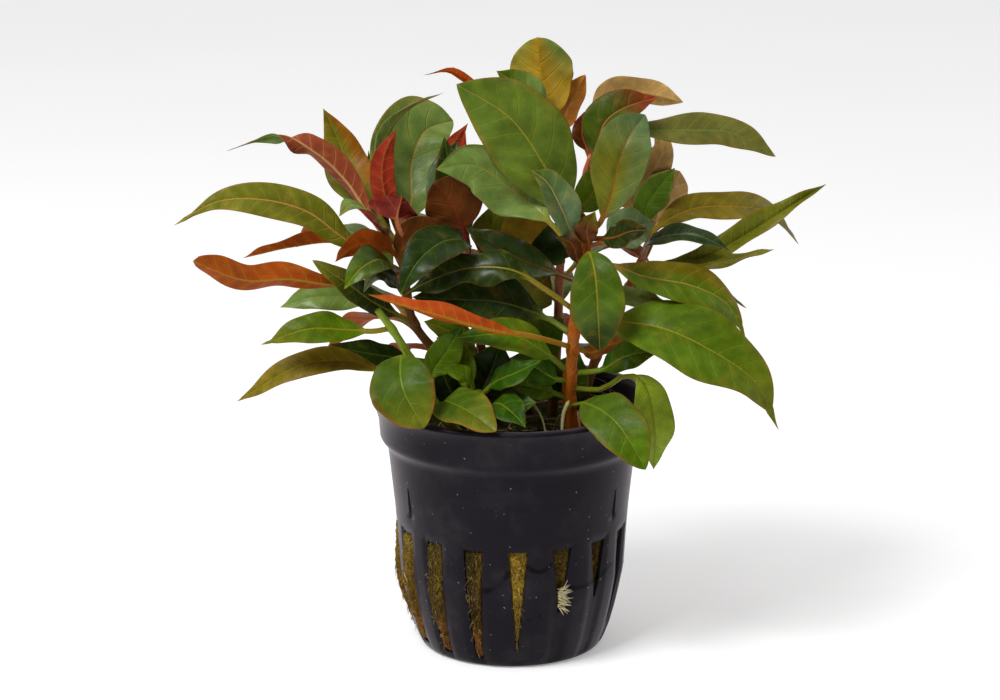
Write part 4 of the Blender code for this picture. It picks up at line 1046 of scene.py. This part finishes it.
def make_pot():
    slots = [LOWEST_CUT + (SLOT_TOP - LOWEST_CUT) * k / SLOT_ROWS for k in range(SLOT_ROWS + 1)]
    profile = [("base", r, 0.0) for r in (0.0, 6.0, 11.0, 14.5, 16.4)]
    profile += [("out", 0.0, h) for h in (0.0, 0.3, 0.6, 0.9, 1.3)]
    first_out = len(profile)
    profile += [("out", 0.0, h) for h in slots + ROWS_ABOVE_SLOTS]
    profile += [("base", r, h) for r, h in RIM_INSIDE]
    first_in = len(profile)
    profile += [("in", 0.0, h) for h in reversed(slots)]
    profile += [("base", r, 1.2) for r in (16.8, 12.0, 6.0, 0.0)]
    bm = bmesh.new()
    sheet = grid(bm, len(profile), POT_COLUMNS + 1)
    marks = nest_columns()
    for row, (kind, radius, height) in enumerate(profile):
        for column in range(POT_COLUMNS + 1):
            number, place = divmod(column % POT_COLUMNS, SECTOR_COLUMNS)
            lean = height
            if kind != "base" and slots[0] <= height <= SLOT_TOP and 2 <= place <= 9:
                foot = SLOT_FEET[number][0]
                if height == min(slots, key=lambda h: abs(h - foot)):
                    lean = foot
            angle = wall_angle(column % POT_COLUMNS, lean)
            inset = WALL_THICKNESS if kind == "in" else 0.0
            reach = radius if kind == "base" else wall_radius(lean) - inset
            if kind == "out" and 3 <= place <= 8:
                reach -= CHANNEL_DEPTH * smooth(0.2, 1.6, lean) * (1 - smooth(25.45, 25.8, lean))
            marked = kind == "out" and column % POT_COLUMNS in marks
            if marked and NEST_MARK_FOOT <= lean <= NEST_MARK_TOP:
                degrees, shift, sunk = marks[column % POT_COLUMNS]
                share = (lean - NEST_MARK_FOOT) / (NEST_MARK_TOP - NEST_MARK_FOOT)
                angle = degrees + math.degrees(shift * (1 - 0.7 * share) / reach)
                reach -= sunk * math.sin(math.pi * share)
            sheet[row][column].co = turned_round(reach, angle, lean)
    open_slots(bm, sheet, (first_out, first_in))
    line_slots(bm)
    as_piece("net_pot", bm, [POT_PLASTIC], ["pot"], sharp=38)


# The growing medium: how far the wool stands out of each slot, and how much painted shade darkens it there
MEDIUM_TOP = 45.3
WOOL_REACH = {0: 0.3, 1: -0.9, 2: -2.0, 3: -1.0, 4: 0.5, 11: 0.9, 12: 1.5, 13: 1.6, 14: 1.3, 15: 0.8}
WOOL_PAINTED_SHADE = {1: 0.8, 2: 0.97, 3: 0.9, 13: 0.35, 14: 0.8, 15: 0.92}
# WOOL_DARK is the dark tone of the medium's top and also the painted shade in the slots
WOOL_YELLOW, WOOL_EARTH, WOOL_DARK = paint(140, 118, 38), paint(110, 74, 24), paint(36, 25, 8)
WOOL_RUST, TOP_MOSS = paint(140, 88, 36), paint(52, 66, 18)
# How far the wool stays inside the wall's outer face
WOOL_GAP = 1.12
WOOL_COLUMNS = 480
WOOL_ROWS = 78
TOP_RINGS = (22.3, 21.6, 20.6, 19.4, 18.0, 16.4, 14.6, 12.6, 10.4, 8.2, 6.0, 3.6, 1.6, 0.0)


def rough(place, scale, seed=0.0):
    return noise.fractal(Vector(place) * scale + Vector((seed, 0, 0)), 0.7, 2.0, 4)


def wool_swell(number, height):
    """How far the wool bulges out of a slot at this height."""
    swell = math.sin(math.pi * smooth(0.0, 1.0, (height - 1.5) / 24.5))
    return WOOL_REACH.get(number, 0.0) * (0.4 + 0.6 * swell)


def wool_side(degrees, height):
    """A place on the plug's side and its colour."""
    base = turned_round(20.0, degrees, height)
    where = (degrees - FIRST_SLOT) / SLOT_ANGLE
    number = round(where) % SLOT_COUNT
    apart = abs(where - round(where)) * math.radians(SLOT_ANGLE) * wall_radius(height)
    half = slot_half(number, height)
    opened = 1 - smooth(max(0.05, half - 0.35), half - 0.02, apart)
    opened *= smooth(SLOT_FEET[number][0] - 0.5, SLOT_FEET[number][0] + 1.5, height)
    opened *= 1 - smooth(SLOT_TOP - 1.0, SLOT_TOP + 0.3, height)
    lump = rough(base, 0.22) * 0.5 + rough(base, 0.9, 7.0) * 0.3
    radius = wall_radius(height) - WOOL_GAP - 0.25 * abs(lump)
    radius = min(radius, wall_radius(min(height, 42.0)) - WOOL_GAP)
    if opened > 0:
        out = radius + (0.55 + wool_swell(number, height) + lump * 0.75)
        radius += (out - radius) * opened
    shade = 0.5 + 0.5 * rough(base, 0.16, 3.0)
    colour = mix(WOOL_YELLOW, WOOL_EARTH, clamp(shade * (1.3 - height / 30)))
    # Painted shade: the wool in these slots is darkened, less towards its right-hand side, which is painted
    # as a lit edge
    lit_edge = smooth(0.1, 0.9, math.copysign(apart, where - round(where)) / max(half, 0.3))
    colour = mix(colour, WOOL_DARK, WOOL_PAINTED_SHADE.get(number, 0.0) * (1 - 0.35 * lit_edge))
    if degrees > 180 and height < 9:
        colour = mix(colour, WOOL_RUST, 0.4)
    return turned_round(radius, degrees, height), colour


def medium_fall(radius):
    """How much lower the medium's top lies near the wall."""
    return 1.9 * smooth(15.0, 22.5, radius)


def wool_top(degrees, radius):
    """A place on the plug's top and its colour."""
    base = turned_round(radius, degrees, MEDIUM_TOP)
    lump = rough(base, 0.35) * 0.9 + rough(base, 1.2, 5.0) * 0.5
    place = turned_round(radius, degrees, MEDIUM_TOP - 0.7 - medium_fall(radius) + 0.45 * lump)
    return place, mix(WOOL_DARK, TOP_MOSS, clamp(0.5 + rough(base, 0.14, 9.0)))


def make_growing_medium():
    bm = new_shell()
    skin_layer = layers_of(bm)[2]
    rows = [(None, 0.0)]
    tall = MEDIUM_TOP - 2.6 - LOWEST_CUT
    rows += [(wool_side, LOWEST_CUT + tall * k / WOOL_ROWS) for k in range(WOOL_ROWS + 1)]
    rows += [(wool_top, radius) for radius in TOP_RINGS]
    sheet = grid(bm, len(rows), WOOL_COLUMNS + 1)
    for row, (surface, measure) in enumerate(rows):
        for column, vert in enumerate(sheet[row]):
            degrees = 360 * (column % WOOL_COLUMNS) / WOOL_COLUMNS
            if surface:
                place, colour = surface(degrees, measure)
            else:
                place, colour = turned_round(0.0, 0.0, 1.9), WOOL_DARK
            vert.co = place
            vert[skin_layer] = colour
    close_shell(bm)
    as_piece("rock_wool_plug", bm, [ROCK_WOOL], ["growing_medium"])


def strand(bm, points, radius, colour, tip_colour=None, steps=6, sides=3):
    """A thin closed strand along a smooth curve, tapering to its tip."""
    blade_layer, _, skin_layer, _ = layers_of(bm)
    points = [Vector(p) for p in points]
    length = length_of(points)
    sheet = grid(bm, steps + 1, sides + 1)
    side = Vector((0.3, 0.5, 0.8)).normalized()
    for row in range(steps + 1):
        share = row / steps
        place, heading = along(points, share)
        side = square_to(side, heading)
        other = heading.cross(side)
        size = radius * (1 - 0.8 * share**2) * (0.0 if row in (0, steps) else 1.0)
        for column, vert in enumerate(sheet[row]):
            angle = math.tau * (column % sides) / sides
            vert.co = place + (side * math.cos(angle) + other * math.sin(angle)) * size
            vert[skin_layer] = mix(colour, tip_colour or colour, share)
            vert[blade_layer] = (share * length, radius * angle, 0.0)


def merge_strands(bm):
    bmesh.ops.remove_doubles(bm, verts=bm.verts, dist=0.0004)
    bmesh.ops.recalc_face_normals(bm, faces=bm.faces)


def make_fibres():
    """Loose fibres of rock wool that stand out in the slots."""
    bm = new_shell()
    rng = random.Random(11)
    levels = ((140, 120, 34), (116, 92, 24), (78, 54, 14), (166, 148, 70), (66, 62, 14))
    tones = [paint(*level) for level in levels]
    for number in range(SLOT_COUNT):
        foot = SLOT_FEET[number][0]
        for _ in range(int(110 * (SLOT_TOP - foot) / 23)):
            height = foot + 0.6 + (SLOT_TOP - foot - 1.0) * rng.random()
            half = slot_half(number, height)
            across = (rng.random() * 2 - 1) * max(0.1, half - 0.25)
            radius = wall_radius(height) - 0.75 + wool_swell(number, height)
            degrees = FIRST_SLOT + number * SLOT_ANGLE + math.degrees(across / radius)
            start = turned_round(radius - 0.1, degrees, height)
            outward = turned_round(1.0, degrees, 0.0)
            level = outward.cross(upwards(1))
            a, b = rng.gauss(0, 0.6), rng.gauss(0, 0.9)
            middle = start + outward * (0.25 + 0.25 * rng.random()) + level * a * 0.5 + upwards(b * 0.6)
            room = max(0.0, half - 0.2)
            end = start + outward * (0.05 + 0.4 * rng.random()) + level * max(-room, min(room, a))
            end += upwards(b * 1.3)
            strand(bm, [start, middle, end], 0.05 + 0.03 * rng.random(), rng.choice(tones), steps=4)
    merge_strands(bm)
    as_piece("wool_fibres", bm, [FIBRE], [])


# Each stem's paints at its foot and at its tip, and how much thicker than the others one of them is
STEM_PAINTS = {
    "stem_front_right": ((176, 96, 20), (150, 72, 20)), "stem_middle": ((78, 66, 18), (170, 96, 56)),
    "stem_back_right": ((84, 66, 20), (190, 112, 84)), "stem_right": ((80, 62, 18), (130, 50, 30)),
    "stem_left": ((90, 66, 24), (112, 58, 26)), "stem_centre_left": ((84, 70, 22), (116, 60, 26)),
    "shoot_left_front": ((112, 130, 26), (128, 148, 44)), "crown_front": ((100, 140, 36), (80, 128, 26)),
}
STEM_GIRTHS = {"stem_front_right": 1.2}
STEM_SIDES = 16


def add_stem(bm, name):
    """The stem's skin, swollen a little at each leaf's foot."""
    blade_layer, _, skin_layer, _ = layers_of(bm)
    points = [Vector(p) for p in STEMS[name]]
    points[0] = points[0] - upwards(1.2)
    joints = [leaf[0] for leaf in LEAVES.get(name, {}).values()] + [leaf[0] for leaf in SMALL_LEAVES[name]]
    steps = 14 * (len(points) - 1)
    length = length_of(points)
    low, high = (paint(*value) for value in STEM_PAINTS[name])
    sheet = grid(bm, steps + 3, STEM_SIDES + 1)
    side = Vector((1, 0, 0))
    for row in range(steps + 3):
        share = clamp((row - 1) / steps)
        place, heading = along(points, share)
        side = square_to(side, heading)
        other = heading.cross(side)
        swell = sum(math.exp(-((place.z - height + 0.4) / 0.8) ** 2) for height in joints)
        radius = stem_radius(share) * STEM_GIRTHS.get(name, 1.0) * (0.9 + 0.22 * min(1.2, swell))
        if row in (0, steps + 2):
            radius = 0.0
        for column, vert in enumerate(sheet[row]):
            angle = math.tau * (column % STEM_SIDES) / STEM_SIDES
            ribbed = radius * (1 + 0.035 * math.sin(angle * 3 + share * 2))
            vert.co = place + (side * math.cos(angle) + other * math.sin(angle)) * ribbed
            vert[blade_layer] = (share * length, radius * angle, 0.0)
            vert[skin_layer] = mix(low, high, share)


def add_roots(bm, name):
    """Pale roots that leave the lowest part of a stem for the rock wool."""
    rng = random.Random(len(name))
    points = [Vector(p) for p in STEMS[name]]
    for _ in range(3):
        angle = rng.random() * math.tau
        start, _heading = along(points, 0.04 + 0.06 * rng.random())
        out = Vector((math.cos(angle), math.sin(angle), 0))
        bend = start + out * (2.0 + rng.random()) + upwards(-0.6)
        end = start + out * (3.2 + 2 * rng.random())
        end.z = MEDIUM_TOP - 1.6
        root = [start + out * 0.9, bend, end]
        strand(bm, root, 0.2, paint(190, 180, 136), paint(150, 130, 90), steps=8, sides=5)


def join_leaf(bm, part):
    """Adds a young leaf's own shell to its stem's, with the stem piece's second material."""
    close_shell(part)
    for face in part.faces:
        face.material_index = 1
    mesh = bpy.data.meshes.new("leaf_to_join")
    part.to_mesh(mesh)
    part.free()
    bm.from_mesh(mesh)
    bpy.data.meshes.remove(mesh)


def make_stems():
    for name in STEMS:
        bm = new_shell()
        add_stem(bm, name)
        close_shell(bm)
        add_roots(bm, name)
        merge_strands(bm)
        for number, leaf in enumerate(SMALL_LEAVES[name] + EXTRA_LEAVES.get(name, [])):
            part = new_shell()
            add_leaf(part, name, leaf, SMALL_SHAPES.get((name, number), {}), 26, f"{name}{number}")
            join_leaf(bm, part)
        as_piece(name + "_dressed", bm, [STEM_SKIN, LEAF_TISSUE], [name])


def make_leaves():
    for stem, leaves in LEAVES.items():
        for name, leaf in leaves.items():
            bm = new_shell()
            add_leaf(bm, stem, leaf, SHAPES.get(name, {}), 46, name)
            close_shell(bm)
            as_piece(name + "_dressed", bm, [LEAF_TISSUE], [name])


# Fine roots
ROOT_PALE, ROOT_TAN, ROOT_CREAM = paint(176, 166, 140), paint(120, 92, 58), paint(206, 196, 158)
# Single roots: their points, radius, colours at both ends, steps and sides
SINGLE_ROOTS = (
    (((3.2, -13.5, 53.5), (5.6, -15.3, 50.0), (6.6, -17.2, 46.5), (7.6, -18.4, 43.9)),
     0.24, (176, 186, 110), (196, 180, 130), 12, 6),
    (((11.0, -12.3, 52.6), (9.9, -13.4, 50.2), (9.6, -14.2, 47.6), (9.7, -15.2, 44.0)),
     0.42, (176, 186, 100), (214, 204, 180), 12, 7),
    (((12.6, -12.0, 50.6), (13.0, -13.4, 47.6), (13.2, -14.4, 44.0)),
     0.36, (130, 74, 40), (110, 70, 40), 10, 6),
)
# One more root, in a slot at the left, as radius, angle and height
SLOT_ROOT = ((21.6, -68.0, 15.6), (23.2, -64.5, 16.6), (23.3, -60.5, 15.3))


def add_wall_roots(bm, rng):
    """Roots that run along the inside of the wall, from the right round to the back."""
    for _ in range(34):
        degrees = 60 + 130 * rng.random()
        radius = 22.9 + 0.7 * rng.random()
        points = []
        height = 44.3 + 1.0 * rng.random()
        for _ in range(4):
            points.append(turned_round(min(radius, 24.55), degrees, height))
            degrees += 5 + 9 * rng.random()
            height = min(49.0, max(44.2, height + rng.gauss(0.2, 1.0)))
            radius += rng.gauss(0.1, 0.2)
        strand(bm, points, 0.055 + 0.04 * rng.random(), ROOT_PALE, ROOT_TAN, steps=10, sides=4)


def add_top_roots(bm, rng):
    """Roots that lie on the medium."""
    for _ in range(70):
        radius, degrees = 21 * math.sqrt(rng.random()), 360 * rng.random()
        points = []
        for _ in range(4):
            height = MEDIUM_TOP - 0.35 - medium_fall(radius) + 0.3 * rng.random()
            points.append(turned_round(radius, degrees, height))
            degrees += rng.gauss(0, 14)
            radius = min(22.0, max(1.0, radius + rng.gauss(0, 1.8)))
        thick = 0.06 + 0.07 * rng.random()
        strand(bm, points, thick, rng.choice((ROOT_PALE, ROOT_TAN, ROOT_TAN)), ROOT_TAN, steps=9, sides=4)


def add_root_tuft(bm, rng):
    """The tuft that hangs out of the slot to the right of the front one."""
    for _ in range(64):
        height = 12.9 + 4.0 * rng.random()
        degrees = FIRST_SLOT + SLOT_ANGLE - 1.8 + 2.6 * rng.random()
        start = turned_round(wall_radius(height) - 1.3, degrees, height)
        reach = 0.3 + 2.3 * rng.random()
        right = turned_round(1.0, degrees + 90, 0.0)
        forward = turned_round(1.0, degrees, 0.0)
        drop = rng.gauss(-0.2, 1.0)
        middle = start + forward * 1.4 + right * reach * 0.25 + upwards(drop * 0.3)
        end = start + forward * (1.35 + 0.5 * rng.random()) + right * reach + upwards(drop)
        strand(bm, [start, middle, end], 0.09 + 0.05 * rng.random(), paint(186, 172, 118), ROOT_CREAM,
               steps=6, sides=4)


def make_loose_roots():
    bm = new_shell()
    rng = random.Random(3)
    add_wall_roots(bm, rng)
    add_top_roots(bm, rng)
    add_root_tuft(bm, rng)
    for points, radius, colour, tip_colour, steps, sides in SINGLE_ROOTS:
        strand(bm, points, radius, paint(*colour), paint(*tip_colour), steps, sides)
    points = [turned_round(*place) for place in SLOT_ROOT]
    strand(bm, points, 0.11, paint(200, 190, 150), ROOT_CREAM, steps=8, sides=4)
    merge_strands(bm)
    as_piece("fine_roots", bm, [FIBRE], [])


def make_moss():
    """Small clumps of moss and crumbs of bark on top of the medium."""
    bm = new_shell()
    skin_layer = layers_of(bm)[2]
    rng = random.Random(23)
    levels = ((74, 96, 34), (54, 72, 28), (96, 110, 40), (70, 48, 26), (44, 32, 20))
    tones = [paint(*level) for level in levels]
    for _ in range(420):
        radius, degrees = 22.3 * math.sqrt(rng.random()), 360 * rng.random()
        tone = rng.choice(tones[:3]) if 200 < degrees < 345 else rng.choice(tones)
        lump = bmesh.ops.create_icosphere(bm, subdivisions=1, radius=0.35 + 0.5 * rng.random())["verts"]
        place = turned_round(radius, degrees, MEDIUM_TOP - 0.75 - medium_fall(radius))
        angle = rng.random() * math.tau
        axis = Vector((rng.random(), rng.random(), rng.random())).normalized()
        turn = Matrix.Rotation(angle, 3, axis)
        for vert in lump:
            x, y, z = vert.co
            squeezed = Vector((x * (0.6 + rng.random() * 0.5), y, z * (0.5 + rng.random() * 0.3)))
            vert.co = turn @ squeezed + place
            vert[skin_layer] = tuple(c * (0.8 + 0.4 * rng.random()) for c in tone[:3]) + (1.0,)
    as_piece("moss_and_crumbs", bm, [ROCK_WOOL], [])


make_pot()
make_growing_medium()
make_fibres()
make_stems()
make_leaves()
make_loose_roots()
make_moss()

# Floor, light and camera, in metres
FLOOR_HALF = 3.0
FLOOR_TONES = ((0.86, 0.86, 0.86, 1.0), (0.90, 0.90, 0.90, 1.0))
TENT_TONES = ((0.05, 0.05, 0.05, 1.0), (1.0, 1.0, 1.0, 1.0))
TENT_STRENGTH = 0.74
KEY_SIZE, KEY_POWER = (0.3, 0.25), 4.0
KEY_PLACE, KEY_TARGET = Vector((-0.28, -0.32, 0.62)), Vector((0.0, 0.0, 0.07))
CAMERA_LENS, CAMERA_SENSOR = 113.76, 36.0
CAMERA_PLACE = (-0.0023, -0.595, 0.2178)
CAMERA_DOWN = 14.93


def floor_paper(web):
    colour = web.blend(web.noise(web.spot(), 6.0, 2.0), *FLOOR_TONES)
    return {"Base Color": colour, "Roughness": 0.9, "Specular IOR Level": 0.1,
            "Emission Color": colour, "Emission Strength": 0.3}


def make_floor():
    bm = bmesh.new()
    bmesh.ops.create_grid(bm, x_segments=2, y_segments=2, size=FLOOR_HALF)
    mesh = bpy.data.meshes.new("floor")
    bm.to_mesh(mesh)
    bm.free()
    mesh.materials.append(make_material("floor_paper", floor_paper))
    floor = bpy.data.objects.new("floor", mesh)
    bpy.context.scene.collection.objects.link(floor)


def make_tent():
    """Bright from above, behind and both sides, and darker where the camera stands."""
    world = bpy.data.worlds.new("studio")
    world.use_nodes = True
    web = Web(world.node_tree)
    look = web.parts(web.node("TexCoord", {})["Generated"])
    level = web.maths("MAXIMUM", web.step(look[1], -0.55, 0.5), web.step(look[2], 0.35, 0.95))
    background = world.node_tree.nodes["Background"]
    web.feed(background, {"Color": web.blend(level, *TENT_TONES), "Strength": TENT_STRENGTH})
    bpy.context.scene.world = world
    bpy.context.scene.view_settings.view_transform = "Standard"


def make_key_light():
    light = bpy.data.lights.new("key", "AREA")
    light.shape = "RECTANGLE"
    light.size, light.size_y = KEY_SIZE
    light.energy = KEY_POWER
    obj = bpy.data.objects.new("key", light)
    obj.location = KEY_PLACE
    obj.rotation_euler = (KEY_TARGET - KEY_PLACE).to_track_quat("-Z", "Y").to_euler()
    bpy.context.scene.collection.objects.link(obj)


def make_camera():
    camera = bpy.data.cameras.new("camera")
    camera.lens = CAMERA_LENS
    camera.sensor_width = CAMERA_SENSOR
    camera.clip_start = 0.01
    obj = bpy.data.objects.new("camera", camera)
    obj.location = CAMERA_PLACE
    obj.rotation_euler = (math.radians(90 - CAMERA_DOWN), 0.0, 0.0)
    bpy.context.scene.collection.objects.link(obj)
    bpy.context.scene.camera = obj


make_floor()
make_tent()
make_key_light()
make_camera()
